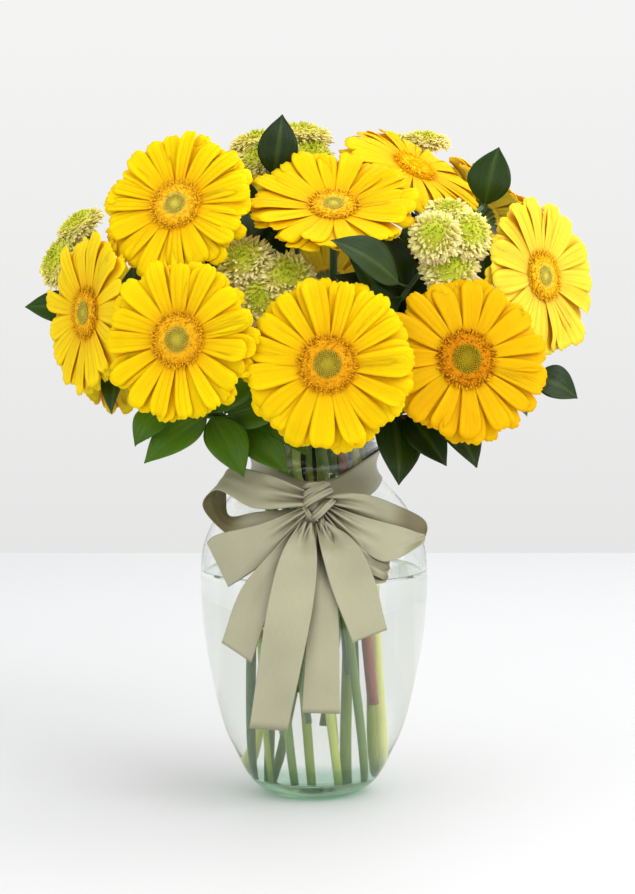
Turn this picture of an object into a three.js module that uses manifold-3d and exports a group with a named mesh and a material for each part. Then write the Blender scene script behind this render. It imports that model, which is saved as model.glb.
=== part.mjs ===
// Gerberas in a glass vase, with button chrysanthemums, ruscus leaves and a ribbon bow.
// Millimetres, +Z up, the front towards -Y, and the origin in the middle of the vase's foot.

import * as THREE from 'three';
import { mergeVertices } from 'three/addons/utils/BufferGeometryUtils.js';
import Module from 'manifold-3d';

const wasm = await Module();
wasm.setup();

// Vase and water
const VASE_SIDES = 24;
const GLASS_WALL = 3.5;
const FLOOR_HEIGHT = 13;
const FLOOR_RADIUS = 40;
const WATER_HEIGHT = 153;
const WATER_GAP = 0.4;
const SEAT_GAP = 0.3;
// The outside of the vase from its foot to its lip: radius, height
const VASE_OUTLINE = [
  [28, 0],
  [36.5, 4],
  [42.5, 9],
  [47.5, 16],
  [53, 27],
  [61.5, 46],
  [72, 90],
  [76, 118],
  [77.5, 150],
  [75, 172],
  [62, 198],
  [50.5, 211],
  [43, 220],
  [41.5, 226],
  [46, 238],
  [54, 250],
];
// Inside, the floor turns up into the wall at this radius and height
const FLOOR_CORNER = [44, 18.5];

// Stems cross the neck in rings, radius in the neck and at the foot. Each foot lies STEM_TWIST further
// round than its place in the neck, so the stems lean past each other and none cross.
const NECK_HEIGHT = 226;
const STEM_TWIST = THREE.MathUtils.degToRad(45);
const STEM_RINGS = {
  outer: { neck: 32.5, foot: 36.5 },
  inner: { neck: 20.5, foot: 24 },
  core: { neck: 8, foot: 9 },
};
const STEM_SIDES = 6;
// A stem stands on the floor of the vase unless its flower or spray names a higher foot
const STANDING_FOOT = FLOOR_HEIGHT + SEAT_GAP;
// How far a stem runs on straight over the neck
const LIP_REACH = 22;
// The hole round a stem, how far it runs past a foot that stands on the floor, and over the water line
const HOLE_CLEARANCE = 0.45;
const HOLE_PAST_FOOT = 6;
const HOLE_PAST_WATER = 20;

// Gerbera heads, for a head of this diameter
const HEAD_DIAMETER = 106;
const PETALS = 22;
const PETAL_HALF_WIDTH = 8.8;
const PETAL_RIDGE = 1.2;
const HUB_RADIUS = 18;
const HUB_HALF_THICKNESS = 0.8;
const DISC_SIDES = 10;
const GERBERA_STEM = 2.7;
// The cup under a head: distance behind the head, radius
const CUP_OUTLINE = [
  [20, 5.5],
  [11, 11],
  [HUB_HALF_THICKNESS + SEAT_GAP, 14],
];

// Button chrysanthemum heads
const BUTTON_SIDES = 10;
const BUTTON_STEM = 1.9;
const BUTTON_BRANCH = 1.5;
const BUTTON_CUP = 3.4;

// Ruscus
const RUSCUS_STEM = 2;
const RUSCUS_TIP = 1.3;
const LEAF_THICKNESS = 0.9;
const LEAF_STALK = 0.9;
const LEAF_FOLD = 0.22;
const LEAF_SAG = 3;

// Ribbon: the band lies round the neck and dips at the front to the knot
const RIBBON_THICKNESS = 0.8;
const BAND_HEIGHT = 20;
const BAND_MIDDLE = 227;
const BAND_DIP = 17;
const BAND_GAP = 0.9;
const KNOT = { at: [1, -68, 206], halfWidth: 11, halfDepth: 7, halfHeight: 12 };
const KNOT_SIDES = 10;
const LOOP_STEPS = 12;
const TAIL_STEPS = 7;

// A piece smaller than this is a scrap of joining, in cubic millimetres
const SCRAP_VOLUME = 0.5;

const point = (x, y, z) => new THREE.Vector3(x, y, z);
const between = (from, to, share) => from + (to - from) * share;

// A seeded draw from 0 to 1, so that the bouquet comes out the same each time
function drawFrom(seed) {
  let state = seed * 7919 + 17;
  return () => {
    state = (state * 1664525 + 1013904223) % 4294967296;
    return state / 4294967296;
  };
}

// A closed body from corner positions and faces, with its faces turned outwards
function solid(positions, faces) {
  const shape = new THREE.BufferGeometry();
  shape.setAttribute('position', new THREE.Float32BufferAttribute(positions, 3));
  shape.setIndex(faces);
  const merged = mergeVertices(shape, 1e-3);
  const index = merged.index.array;
  const kept = [];
  const turned = [];
  for (let i = 0; i < index.length; i += 3) {
    const [a, b, c] = index.slice(i, i + 3);
    if (a !== b && b !== c && c !== a) {
      kept.push(a, b, c);
      turned.push(a, c, b);
    }
  }
  const build = (triangles) => new wasm.Manifold(new wasm.Mesh({
    numProp: 3,
    vertProperties: merged.attributes.position.array,
    triVerts: Uint32Array.from(triangles),
  }));
  const made = build(kept);
  return made.volume() > 0 ? made : build(turned);
}

// A body whose skin runs from ring to ring of corners. A ring drawn together to a point ends it.
function skin(rings) {
  const corners = rings[0].length;
  const last = rings.length - 1;
  const at = (ring, corner) => ring * corners + (corner % corners);
  const faces = [];
  for (let ring = 0; ring < last; ring += 1) {
    for (let corner = 0; corner < corners; corner += 1) {
      faces.push(at(ring, corner), at(ring, corner + 1), at(ring + 1, corner + 1));
      faces.push(at(ring, corner), at(ring + 1, corner + 1), at(ring + 1, corner));
    }
  }
  for (let corner = 1; corner < corners - 1; corner += 1) {
    faces.push(at(0, 0), at(0, corner + 1), at(0, corner));
    faces.push(at(last, 0), at(last, corner), at(last, corner + 1));
  }
  return solid(rings.flat().flatMap((p) => [p.x, p.y, p.z]), faces);
}

// One body from several that run into each other. Loose scraps that the join leaves are dropped.
function join(bodies) {
  const whole = bodies.reduce((sum, body) => sum.add(body)).simplify(0.01);
  const pieces = whole.decompose().filter((piece) => piece.volume() > SCRAP_VOLUME);
  return pieces.reduce((sum, piece) => sum.add(piece));
}

// A round body turned about +Z from its outline of radius and height, which starts and ends on the axis
function turned(outline, sides) {
  const rings = outline.map(([radius, height]) => Array.from({ length: sides }, (_, side) => {
    const angle = (side / sides) * Math.PI * 2;
    return point(radius * Math.cos(angle), radius * Math.sin(angle), height);
  }));
  return skin(rings);
}

// A tube along stations of a place and a radius
function tube(stations, sides) {
  let side = point(1, 0.13, 0.07);
  const rings = stations.map(({ at, radius }, i) => {
    const before = stations[Math.max(i - 1, 0)].at;
    const after = stations[Math.min(i + 1, stations.length - 1)].at;
    const along = after.clone().sub(before).normalize();
    side = side.clone().addScaledVector(along, -side.dot(along)).normalize();
    const other = along.clone().cross(side);
    return Array.from({ length: sides }, (_, corner) => {
      const angle = (corner / sides) * Math.PI * 2;
      return at.clone()
        .addScaledVector(side, radius * Math.cos(angle))
        .addScaledVector(other, radius * Math.sin(angle));
    });
  });
  return skin(rings);
}

// A smooth way through places chosen by hand, as stations of one radius
function wayThrough(places, steps, radius) {
  const curve = new THREE.CatmullRomCurve3(places, false, 'centripetal');
  return curve.getSpacedPoints(steps).map((at) => ({ at, radius }));
}

const bouquet = new THREE.Group();

function addMesh(parent, name, body, color, roughness) {
  const { vertProperties, triVerts } = body.getMesh();
  const geometry = new THREE.BufferGeometry();
  geometry.setAttribute('position', new THREE.Float32BufferAttribute(vertProperties, 3));
  geometry.setIndex(Array.from(triVerts));
  geometry.computeVertexNormals();
  const material = new THREE.MeshStandardMaterial({ color, roughness, metalness: 0 });
  const mesh = new THREE.Mesh(geometry, material);
  mesh.name = name;
  parent.add(mesh);
}

// Radius of the vase's outside at a height
function vaseRadius(height) {
  const above = VASE_OUTLINE.findIndex(([, level]) => level >= height);
  const [lowRadius, lowLevel] = VASE_OUTLINE[above - 1];
  const [highRadius, highLevel] = VASE_OUTLINE[above];
  return between(lowRadius, highRadius, (height - lowLevel) / (highLevel - lowLevel));
}

// Vase: a thick floor, then a wall of even thickness up to the lip
function vaseInside() {
  const wall = VASE_OUTLINE.filter(([, height]) => height > 2 * FLOOR_CORNER[1]);
  return [
    [0, FLOOR_HEIGHT],
    [FLOOR_RADIUS, FLOOR_HEIGHT],
    FLOOR_CORNER,
    ...wall.map(([radius, height]) => [radius - GLASS_WALL, height]),
  ];
}

function vase() {
  return turned([[0, 0], ...VASE_OUTLINE, ...vaseInside().reverse()], VASE_SIDES);
}

// Water: the inside of the vase up to the water line, less the plain holes that the stems stand in
function water(holes) {
  const wet = vaseInside().filter(([, height]) => height < WATER_HEIGHT);
  const outline = wet.map(([radius, height], i) => {
    const onFloor = i < 2;
    return [Math.max(radius - WATER_GAP, 0), height + (onFloor ? WATER_GAP : 0)];
  });
  const surfaceRadius = vaseRadius(WATER_HEIGHT) - GLASS_WALL - WATER_GAP;
  outline.push([surfaceRadius, WATER_HEIGHT], [0, WATER_HEIGHT]);
  return turned(outline, VASE_SIDES).subtract(join(holes)).simplify(0.01);
}

// The straight lower length of a stem: from its foot to its place in the neck
function stemBase(ring, neckDegrees, radius, footHeight = STANDING_FOOT) {
  const { neck: neckRadius, foot: footRadius } = STEM_RINGS[ring];
  const angle = THREE.MathUtils.degToRad(neckDegrees);
  const neck = point(neckRadius * Math.cos(angle), neckRadius * Math.sin(angle), NECK_HEIGHT);
  const footAngle = angle + STEM_TWIST;
  const floorPoint = point(
    footRadius * Math.cos(footAngle),
    footRadius * Math.sin(footAngle),
    FLOOR_HEIGHT,
  );
  const along = neck.clone().sub(floorPoint).normalize();
  const foot = floorPoint.clone().addScaledVector(along, (footHeight - FLOOR_HEIGHT) / along.z);
  const lip = neck.clone().addScaledVector(along, LIP_REACH);
  return { neck, foot, lip, along, radius, footHeight };
}

const holes = [];

// The hole that a stem stands in, from just under its foot to over the water. It goes through the water
// under a stem that stands on the floor, and is blind under a shorter one.
function bore(base) {
  const past = base.footHeight > STANDING_FOOT ? HOLE_CLEARANCE : HOLE_PAST_FOOT;
  const under = base.foot.clone().addScaledVector(base.along, -past);
  const over = base.foot.clone()
    .addScaledVector(base.along, WATER_HEIGHT + HOLE_PAST_WATER - base.footHeight);
  const radius = base.radius + HOLE_CLEARANCE;
  holes.push(tube([{ at: under, radius }, { at: over, radius }], STEM_SIDES));
}

// Stations of a stem from its foot by way of the neck to the given places. It thins above the neck.
function stemStations(base, places, steps, endRadius = base.radius) {
  const upper = wayThrough([base.neck, base.lip, ...places], steps, base.radius);
  upper.forEach((station, i) => {
    station.radius = between(base.radius, endRadius, i / steps);
  });
  return [{ at: base.foot, radius: base.radius }, ...upper];
}

// A stem's foot is cut level, just clear of the floor
function cutFoot(stem, footHeight) {
  return stem.trimByPlane([0, 0, 1], footHeight);
}

// Gerbera: the corners of one ray petal's outer rings, each left edge, right edge and ridge. The petals
// stand by turns in an upper and a lower layer, and are widest near their round tips.
function petalRings({ angle, upper, reach, halfWidth, droop }) {
  const stations = [
    { out: 0.58, wide: 0.88, high: 2.6, low: -1.6 },
    { out: 0.87, wide: 1, high: 2.8, low: -2.2 },
    { out: 1, wide: 0.5, high: 1.6, low: -3.4 },
  ];
  const across = point(-Math.sin(angle), Math.cos(angle), 0);
  return stations.map(({ out, wide, high, low }) => {
    const middle = point(
      reach * out * Math.cos(angle),
      reach * out * Math.sin(angle),
      (upper ? high : low) - droop * out * out,
    );
    return [
      middle.clone().addScaledVector(across, -halfWidth * wide),
      middle.clone().addScaledVector(across, halfWidth * wide),
      middle.clone().setZ(middle.z + PETAL_RIDGE),
    ];
  });
}

// All the petals and the flat hub that they grow from. The hub's side is a zigzag of triangles, and a
// petal grows out of each that stands on its base.
function petalHead({ diameter, droop, seed }) {
  const draw = drawFrom(seed);
  const scale = diameter / HEAD_DIAMETER;
  const step = (Math.PI * 2) / PETALS;
  const onHub = (angle, height) => point(HUB_RADIUS * Math.cos(angle), HUB_RADIUS * Math.sin(angle), height);
  const corners = [];
  for (let i = 0; i < PETALS; i += 1) corners.push(onHub((i - 0.5) * step, -HUB_HALF_THICKNESS));
  for (let i = 0; i < PETALS; i += 1) corners.push(onHub(i * step, HUB_HALF_THICKNESS));
  const low = (i) => i % PETALS;
  const top = (i) => PETALS + (i % PETALS);
  const faces = [];
  for (let i = 0; i < PETALS; i += 1) {
    let ring = [low(i), low(i + 1), top(i)];
    const upper = i % 2 === 0;
    const rings = petalRings({
      angle: (i + (draw() - 0.5) * 0.24) * step,
      upper,
      reach: (HEAD_DIAMETER / 2) * scale * between(0.95, 1, draw()),
      halfWidth: PETAL_HALF_WIDTH * scale * between(0.92, 1.04, draw()),
      droop: droop + between(0, 1, draw()) * (upper ? 0.8 : 1.6),
    });
    for (const outer of rings) {
      const first = corners.length;
      corners.push(...outer);
      const next = [first, first + 1, first + 2];
      for (const [a, b] of [[0, 1], [1, 2], [2, 0]]) {
        faces.push(ring[a], ring[b], next[b], ring[a], next[b], next[a]);
      }
      ring = next;
    }
    faces.push(...ring);
    faces.push(top(i), low(i + 1), top(i + 1));
  }
  for (let i = 1; i < PETALS - 1; i += 1) {
    faces.push(top(0), top(i), top(i + 1));
    faces.push(low(0), low(i + 1), low(i));
  }
  return solid(corners.flatMap((p) => [p.x, p.y, p.z]), faces);
}

// The disc: a ragged ring of small florets round a low eye, raised and sunk by turns
function disc() {
  const levels = [
    { radius: 13, height: HUB_HALF_THICKNESS + SEAT_GAP, swing: 0, lift: 0 },
    { radius: 19, height: 3, swing: 0.9, lift: 0.4 },
    { radius: 15.5, height: 5.6, swing: -0.8, lift: -1 },
    { radius: 11, height: 3.8, swing: 0.7, lift: 0.6 },
    { radius: 7, height: 5, swing: 0.7, lift: -0.7 },
    { radius: 0, height: 4.2, swing: 0, lift: 0 },
  ];
  const rings = levels.map(({ radius, height, swing, lift }) => (
    Array.from({ length: DISC_SIDES }, (_, side) => {
      const angle = (side / DISC_SIDES) * Math.PI * 2;
      const turn = side % 2 ? 1 : -1;
      const reach = radius + swing * turn;
      return point(reach * Math.cos(angle), reach * Math.sin(angle), height + lift * turn);
    })
  ));
  return skin(rings);
}

// Where each head is, which way it faces, and where its stem crosses the neck
const GERBERAS = [
  {
    name: 'upper_left',
    at: [-89, -60, 399],
    facing: [-0.3, -0.88, 0.36],
    diameter: 101,
    ring: 'inner',
    neck: 222,
  },
  {
    name: 'far_left',
    at: [-149, -43, 329],
    facing: [-0.83, -0.55, 0.05],
    diameter: 106,
    ring: 'outer',
    neck: 206,
  },
  {
    name: 'lower_left',
    at: [-85, -107, 313],
    facing: [-0.34, -0.93, 0.1],
    diameter: 102,
    ring: 'outer',
    neck: 250,
  },
  {
    name: 'front',
    at: [9, -122, 298],
    facing: [-0.1, -0.97, 0.15],
    diameter: 108,
    ring: 'outer',
    neck: 283,
  },
  {
    name: 'upper_middle',
    at: [13, -50, 398],
    facing: [0, -0.6, 0.8],
    diameter: 109,
    droop: -7,
    ring: 'inner',
    neck: 300,
    foot: 88,
  },
  {
    name: 'upper_right',
    at: [68, 17, 427],
    facing: [0.43, -0.42, 0.8],
    diameter: 105,
    droop: 6,
    ring: 'inner',
    neck: 10,
  },
  {
    name: 'lower_right',
    at: [97, -90, 300],
    facing: [0.2, -0.95, 0.2],
    diameter: 106,
    ring: 'outer',
    neck: 333,
  },
  {
    name: 'far_right',
    at: [151, -32, 353],
    facing: [0.73, -0.67, 0.14],
    diameter: 106,
    ring: 'outer',
    neck: 1,
  },
  {
    name: 'back_right',
    at: [118, 95, 400],
    facing: [0.5, 0.5, 0.7],
    diameter: 105,
    ring: 'inner',
    neck: 50,
    foot: 60,
  },
  {
    name: 'back_left',
    at: [-85, 75, 400],
    facing: [-0.5, 0.55, 0.66],
    diameter: 104,
    ring: 'inner',
    neck: 142,
  },
  {
    name: 'back_middle',
    at: [10, 128, 345],
    facing: [0, 0.95, 0.3],
    diameter: 108,
    ring: 'outer',
    neck: 98,
  },
  {
    name: 'back_far_left',
    at: [-140, 75, 310],
    facing: [-0.8, 0.6, 0.1],
    diameter: 106,
    ring: 'outer',
    neck: 152,
  },
];

function addGerbera(spec, seed) {
  const facing = point(...spec.facing).normalize();
  const at = point(...spec.at);
  const head = new THREE.Group();
  head.position.copy(at);
  head.quaternion.setFromUnitVectors(point(0, 0, 1), facing);
  bouquet.add(head);
  const petals = petalHead({ diameter: spec.diameter, droop: spec.droop ?? 0, seed });
  addMesh(head, `gerbera_${spec.name}_petals`, petals, '#f7c116', 0.55);
  addMesh(head, `gerbera_${spec.name}_disc`, disc(), '#c98a1e', 0.85);

  const base = stemBase(spec.ring, spec.neck, GERBERA_STEM, spec.foot);
  bore(base);
  const behind = (distance) => at.clone().addScaledVector(facing, -distance);
  const places = [behind(52), behind(24)];
  const cup = CUP_OUTLINE.map(([distance, radius]) => ({ at: behind(distance), radius }));
  const stem = tube([...stemStations(base, places, 5), ...cup], STEM_SIDES);
  addMesh(bouquet, `gerbera_${spec.name}_stem`, cutFoot(stem, base.footHeight), '#6f8f3a', 0.6);
}

// Button chrysanthemum: one head, a ragged rim of outer florets under a knobbly dome
function buttonHead(diameter, turn) {
  const radius = diameter / 2;
  const levels = [
    { out: 0.22, height: -0.34, swing: 0, lift: 0 },
    { out: 0.93, height: 0, swing: 0.1, lift: 0.06 },
    { out: 0.8, height: 0.32, swing: -0.1, lift: 0.1 },
    { out: 0.5, height: 0.56, swing: 0.1, lift: -0.1 },
    { out: 0, height: 0.46, swing: 0, lift: 0 },
  ];
  const rings = levels.map(({ out, height, swing, lift }) => (
    Array.from({ length: BUTTON_SIDES }, (_, side) => {
      const angle = (side / BUTTON_SIDES) * Math.PI * 2 + turn;
      const sign = side % 2 ? 1 : -1;
      const reach = radius * (out + swing * sign);
      return point(reach * Math.cos(angle), reach * Math.sin(angle), radius * (height + lift * sign));
    })
  ));
  return skin(rings);
}

const BUTTON_SPRAYS = [
  {
    name: 'left',
    ring: 'outer',
    neck: 179,
    fork: [-138, 30, 350],
    heads: [
      { at: [-174, 20, 364], facing: [-0.75, -0.5, 0.4], diameter: 38 },
      { at: [-161, 26, 388], facing: [-0.5, -0.35, 0.8], diameter: 35 },
      { at: [-166, 44, 374], facing: [-0.7, 0.3, 0.6], diameter: 34 },
    ],
  },
  {
    name: 'top',
    ring: 'core',
    neck: 118,
    foot: 75,
    fork: [-14, 26, 405],
    heads: [
      { at: [-39, 28, 444], facing: [-0.2, -0.1, 0.95], diameter: 38 },
      { at: [-8, 30, 449], facing: [0.1, -0.1, 1], diameter: 40 },
      { at: [-36, 8, 432], facing: [-0.25, -0.6, 0.75], diameter: 34 },
      { at: [-3, 14, 435], facing: [0.2, -0.7, 0.7], diameter: 34 },
    ],
  },
  {
    name: 'centre_left',
    ring: 'inner',
    neck: 262,
    foot: 42,
    fork: [-30, -34, 330],
    heads: [
      { at: [-45, -62, 362], facing: [-0.2, -0.8, 0.55], diameter: 38 },
      { at: [-17, -68, 352], facing: [0.1, -0.85, 0.5], diameter: 36 },
      { at: [-36, -72, 338], facing: [-0.1, -0.95, 0.2], diameter: 34 },
    ],
  },
  {
    name: 'centre_right',
    ring: 'inner',
    neck: 336,
    foot: 67,
    fork: [88, -28, 350],
    heads: [
      { at: [78, -73, 378], facing: [-0.2, -0.97, 0.1], diameter: 33 },
      { at: [99, -64, 380], facing: [0.3, -0.9, 0.3], diameter: 34 },
      { at: [88, -66, 358], facing: [0.05, -0.97, 0.2], diameter: 36 },
      { at: [87, -57, 394], facing: [0, -0.5, 0.85], diameter: 29 },
    ],
  },
  {
    name: 'top_right',
    ring: 'core',
    neck: 298,
    foot: 96,
    fork: [74, 92, 398],
    heads: [
      { at: [57, 86, 446], facing: [-0.1, -0.1, 1], diameter: 34 },
      { at: [79, 82, 448], facing: [0.1, -0.2, 1], diameter: 34 },
    ],
  },
  {
    name: 'back_right',
    ring: 'outer',
    neck: 45,
    foot: 50,
    fork: [100, 90, 315],
    heads: [
      { at: [118, 108, 332], facing: [0.6, 0.7, 0.35], diameter: 38 },
      { at: [92, 124, 330], facing: [0.25, 0.9, 0.35], diameter: 36 },
      { at: [112, 118, 306], facing: [0.55, 0.8, 0.05], diameter: 36 },
    ],
  },
];

function addButtonSpray(spec) {
  const base = stemBase(spec.ring, spec.neck, BUTTON_STEM, spec.foot);
  bore(base);
  const fork = point(...spec.fork);
  const parts = [tube(stemStations(base, [fork], 4), STEM_SIDES)];
  const heads = spec.heads.map((head, i) => {
    const facing = point(...head.facing).normalize();
    const at = point(...head.at);
    const underside = at.clone().addScaledVector(facing, -0.17 * head.diameter - SEAT_GAP);
    const approach = underside.clone().addScaledVector(facing, -7);
    parts.push(tube([
      { at: fork, radius: BUTTON_BRANCH },
      { at: approach, radius: BUTTON_BRANCH },
      { at: underside, radius: BUTTON_CUP },
    ], 4));
    const quaternion = new THREE.Quaternion().setFromUnitVectors(point(0, 0, 1), facing);
    const matrix = new THREE.Matrix4().compose(at, quaternion, point(1, 1, 1));
    return buttonHead(head.diameter, i).transform(matrix.toArray());
  });
  addMesh(bouquet, `chrysanthemum_${spec.name}_heads`, join(heads), '#c3cf62', 0.8);
  const stem = cutFoot(join(parts), base.footHeight);
  addMesh(bouquet, `chrysanthemum_${spec.name}_stem`, stem, '#5f8a35', 0.6);
}

// The end of a leaf's short stalk, square across the way to the leaf's base
function stalkRing(root, base, facing) {
  const along = base.clone().sub(root);
  const across = along.clone().cross(point(...facing)).setLength(LEAF_STALK);
  const up = across.clone().cross(along).setLength(LEAF_STALK);
  return [
    root.clone().sub(across),
    root.clone().add(up),
    root.clone().add(across),
    root.clone().sub(up),
  ];
}

// Ruscus: a leaf from its root on the stem over its base to its tip, folded a little along its rib
function leaf({ root, base, tip, facing, width }) {
  const from = point(...base);
  const along = point(...tip).sub(from);
  const across = along.clone().cross(point(...facing)).normalize();
  const up = across.clone().cross(along).normalize();
  const stations = [
    { share: 0, wide: 0.08 },
    { share: 0.28, wide: 0.86 },
    { share: 0.52, wide: 1 },
    { share: 0.8, wide: 0.6 },
    { share: 1, wide: 0 },
  ];
  const rings = stations.map(({ share, wide }) => {
    const middle = from.clone()
      .addScaledVector(along, share)
      .addScaledVector(up, LEAF_SAG * Math.sin(share * Math.PI));
    const half = (wide * width) / 2;
    const thick = share ? (LEAF_THICKNESS / 2) * Math.sign(wide) : LEAF_STALK;
    return [
      middle.clone().addScaledVector(across, -half).addScaledVector(up, half * LEAF_FOLD),
      middle.clone().addScaledVector(up, thick),
      middle.clone().addScaledVector(across, half).addScaledVector(up, half * LEAF_FOLD),
      middle.clone().addScaledVector(up, -thick),
    ];
  });
  return skin([stalkRing(root, from, facing), ...rings]);
}

const RUSCUS_SPRAYS = [
  {
    name: 'left',
    ring: 'outer',
    neck: 192,
    foot: 82,
    way: [[-70, -14, 282], [-118, -10, 308], [-150, 10, 324]],
    leaves: [
      { base: [-158, 16, 327], tip: [-197, 10, 334], facing: [-0.2, -0.8, 0.5], width: 25 },
      { base: [-120, -34, 305], tip: [-134, -66, 266], facing: [-0.6, -0.6, 0.4], width: 26 },
      { base: [-104, -24, 306], tip: [-152, 10, 290], facing: [-0.3, 0.2, 0.9], width: 28 },
      { base: [-116, -2, 314], tip: [-124, 8, 362], facing: [-0.2, -0.9, 0.2], width: 28 },
    ],
  },
  {
    name: 'lower_left',
    ring: 'outer',
    neck: 228,
    foot: 57,
    way: [[-44, -42, 258], [-72, -62, 262], [-96, -70, 262]],
    leaves: [
      { base: [-95, -72, 266], tip: [-116, -84, 246], facing: [-0.4, -0.8, 0.5], width: 24 },
      { base: [-70, -68, 263], tip: [-109, -88, 235], facing: [-0.2, -0.9, 0.4], width: 26 },
      { base: [-66, -64, 262], tip: [-45, -86, 226], facing: [0.1, -0.9, 0.3], width: 28 },
      { base: [-52, -54, 258], tip: [-17, -78, 228], facing: [0.2, -0.9, 0.3], width: 28 },
      { base: [-40, -44, 258], tip: [-4, -72, 240], facing: [0.2, -0.6, 0.7], width: 24 },
      { base: [-58, -56, 264], tip: [-40, -60, 306], facing: [0, -0.9, 0.2], width: 30 },
      { base: [-84, -62, 266], tip: [-112, -22, 248], facing: [-0.2, 0.1, 1], width: 26 },
    ],
  },
  {
    name: 'lower_right',
    ring: 'outer',
    neck: 308,
    foot: 67,
    stem: 3.2,
    way: [[46, -42, 258], [80, -50, 262], [120, -40, 276], [146, -34, 284]],
    leaves: [
      { base: [52, -50, 262], tip: [56, -78, 220], facing: [0.3, -0.9, 0.3], width: 32 },
      { base: [84, -54, 264], tip: [106, -80, 232], facing: [0.3, -0.8, 0.4], width: 28 },
      { base: [62, -50, 262], tip: [86, -72, 232], facing: [0.1, -0.9, 0.3], width: 26 },
      { base: [70, -44, 264], tip: [56, -50, 306], facing: [0, -0.9, 0.2], width: 28 },
      { base: [146, -34, 286], tip: [176, -36, 274], facing: [0.1, -0.8, 0.6], width: 27 },
      { base: [112, -42, 274], tip: [146, 2, 262], facing: [0.4, 0.3, 0.9], width: 27 },
    ],
  },
  {
    name: 'top',
    ring: 'inner',
    neck: 182,
    foot: 48,
    way: [[-42, -4, 330], [-40, -8, 400], [-28, -12, 418]],
    leaves: [
      { base: [-27, -8, 421], tip: [-21, -12, 461], facing: [0.1, -0.9, 0.3], width: 27 },
      { base: [-43, -6, 374], tip: [-47, -22, 420], facing: [0, -0.9, 0.3], width: 28 },
      { base: [-42, -2, 360], tip: [-62, 40, 384], facing: [-0.5, 0.3, 0.8], width: 27 },
      { base: [-38, 2, 392], tip: [-24, 56, 404], facing: [0, -0.3, 0.9], width: 28 },
      { base: [-42, 4, 336], tip: [-22, 60, 340], facing: [0, -0.2, 0.9], width: 28 },
    ],
  },
  {
    name: 'right',
    ring: 'inner',
    neck: 352,
    foot: 92,
    way: [[40, -16, 300], [62, -42, 345], [96, -14, 382], [114, 2, 400]],
    leaves: [
      { base: [116, 2, 402], tip: [124, -2, 440], facing: [-0.2, -0.9, 0.2], width: 30 },
      { base: [54, -86, 349], tip: [13, -108, 377], facing: [-0.1, -0.75, 0.65], width: 30 },
      { base: [72, -14, 358], tip: [66, -16, 396], facing: [0, -0.9, 0.3], width: 26 },
      { base: [60, -44, 346], tip: [42, -56, 386], facing: [-0.2, -0.9, 0.2], width: 28 },
      { base: [50, -30, 324], tip: [30, -44, 358], facing: [-0.2, -0.9, 0.2], width: 28 },
      { base: [100, -14, 381], tip: [117, -36, 350], facing: [0.2, -0.9, 0.2], width: 26 },
      { base: [106, 0, 390], tip: [140, 26, 372], facing: [0.5, 0.2, 0.8], width: 27 },
      { base: [84, -12, 370], tip: [58, 42, 384], facing: [0, -0.2, 0.9], width: 28 },
      { base: [58, -28, 332], tip: [86, 28, 342], facing: [0.1, -0.1, 0.9], width: 28 },
    ],
  },
  {
    name: 'back',
    ring: 'outer',
    neck: 72,
    way: [[8, 52, 262], [-10, 84, 272], [-40, 100, 276], [-70, 104, 282]],
    leaves: [
      { base: [0, 74, 272], tip: [52, 104, 290], facing: [0.2, 0.4, 0.9], width: 28 },
      { base: [-30, 96, 278], tip: [-38, 118, 326], facing: [0, 0.9, -0.3], width: 28 },
      { base: [-72, 104, 283], tip: [-104, 118, 262], facing: [-0.2, 0.9, 0.4], width: 28 },
      { base: [-46, 104, 276], tip: [-54, 126, 236], facing: [0, 0.9, 0.4], width: 28 },
      { base: [-18, 92, 274], tip: [-6, 120, 238], facing: [0.1, 0.9, 0.4], width: 28 },
      { base: [2, 64, 266], tip: [44, 96, 240], facing: [0.3, 0.8, 0.5], width: 28 },
    ],
  },
];

function addRuscus(spec) {
  const base = stemBase(spec.ring, spec.neck, spec.stem ?? RUSCUS_STEM, spec.foot);
  bore(base);
  const stations = stemStations(base, spec.way.map((p) => point(...p)), 6, RUSCUS_TIP);
  const parts = [tube(stations, STEM_SIDES)];
  for (const shape of spec.leaves) {
    const distance = ({ at }) => at.distanceTo(point(...shape.base));
    const nearest = stations.slice(1).reduce((best, next) => (distance(next) < distance(best) ? next : best));
    parts.push(leaf({ ...shape, root: nearest.at }));
  }
  const body = cutFoot(join(parts), base.footHeight);
  addMesh(bouquet, `ruscus_${spec.name}`, body, '#2c4a1c', 0.4);
}

// Ribbon: a thin strip between two edges, each a smooth line through its points
function ribbonStrip(leftEdge, rightEdge, steps) {
  const left = new THREE.CatmullRomCurve3(leftEdge.map((p) => point(...p))).getPoints(steps);
  const right = new THREE.CatmullRomCurve3(rightEdge.map((p) => point(...p))).getPoints(steps);
  const middle = left.map((p, i) => p.clone().add(right[i]).multiplyScalar(0.5));
  const rings = left.map((edge, i) => {
    const along = middle[Math.min(i + 1, steps)].clone().sub(middle[Math.max(i - 1, 0)]);
    const out = right[i].clone().sub(edge).cross(along).normalize().multiplyScalar(RIBBON_THICKNESS / 2);
    return [
      edge.clone().add(out),
      right[i].clone().add(out),
      right[i].clone().sub(out),
      edge.clone().sub(out),
    ];
  });
  return skin(rings);
}

function ribbonBand() {
  const rings = [];
  for (let side = 0; side < VASE_SIDES; side += 1) {
    const angle = (side / VASE_SIDES) * Math.PI * 2;
    const frontness = Math.max(-Math.sin(angle), 0) ** 2;
    const middle = BAND_MIDDLE - BAND_DIP * frontness;
    const inner = [];
    const outer = [];
    for (const share of [-0.5, 0, 0.5]) {
      const height = middle + share * BAND_HEIGHT;
      const radius = vaseRadius(height) + BAND_GAP;
      inner.push(point(radius * Math.cos(angle), radius * Math.sin(angle), height));
      const face = radius + RIBBON_THICKNESS;
      outer.push(point(face * Math.cos(angle), face * Math.sin(angle), height));
    }
    rings.push([...inner, ...outer.reverse()]);
  }
  return closedRing(rings);
}

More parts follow.
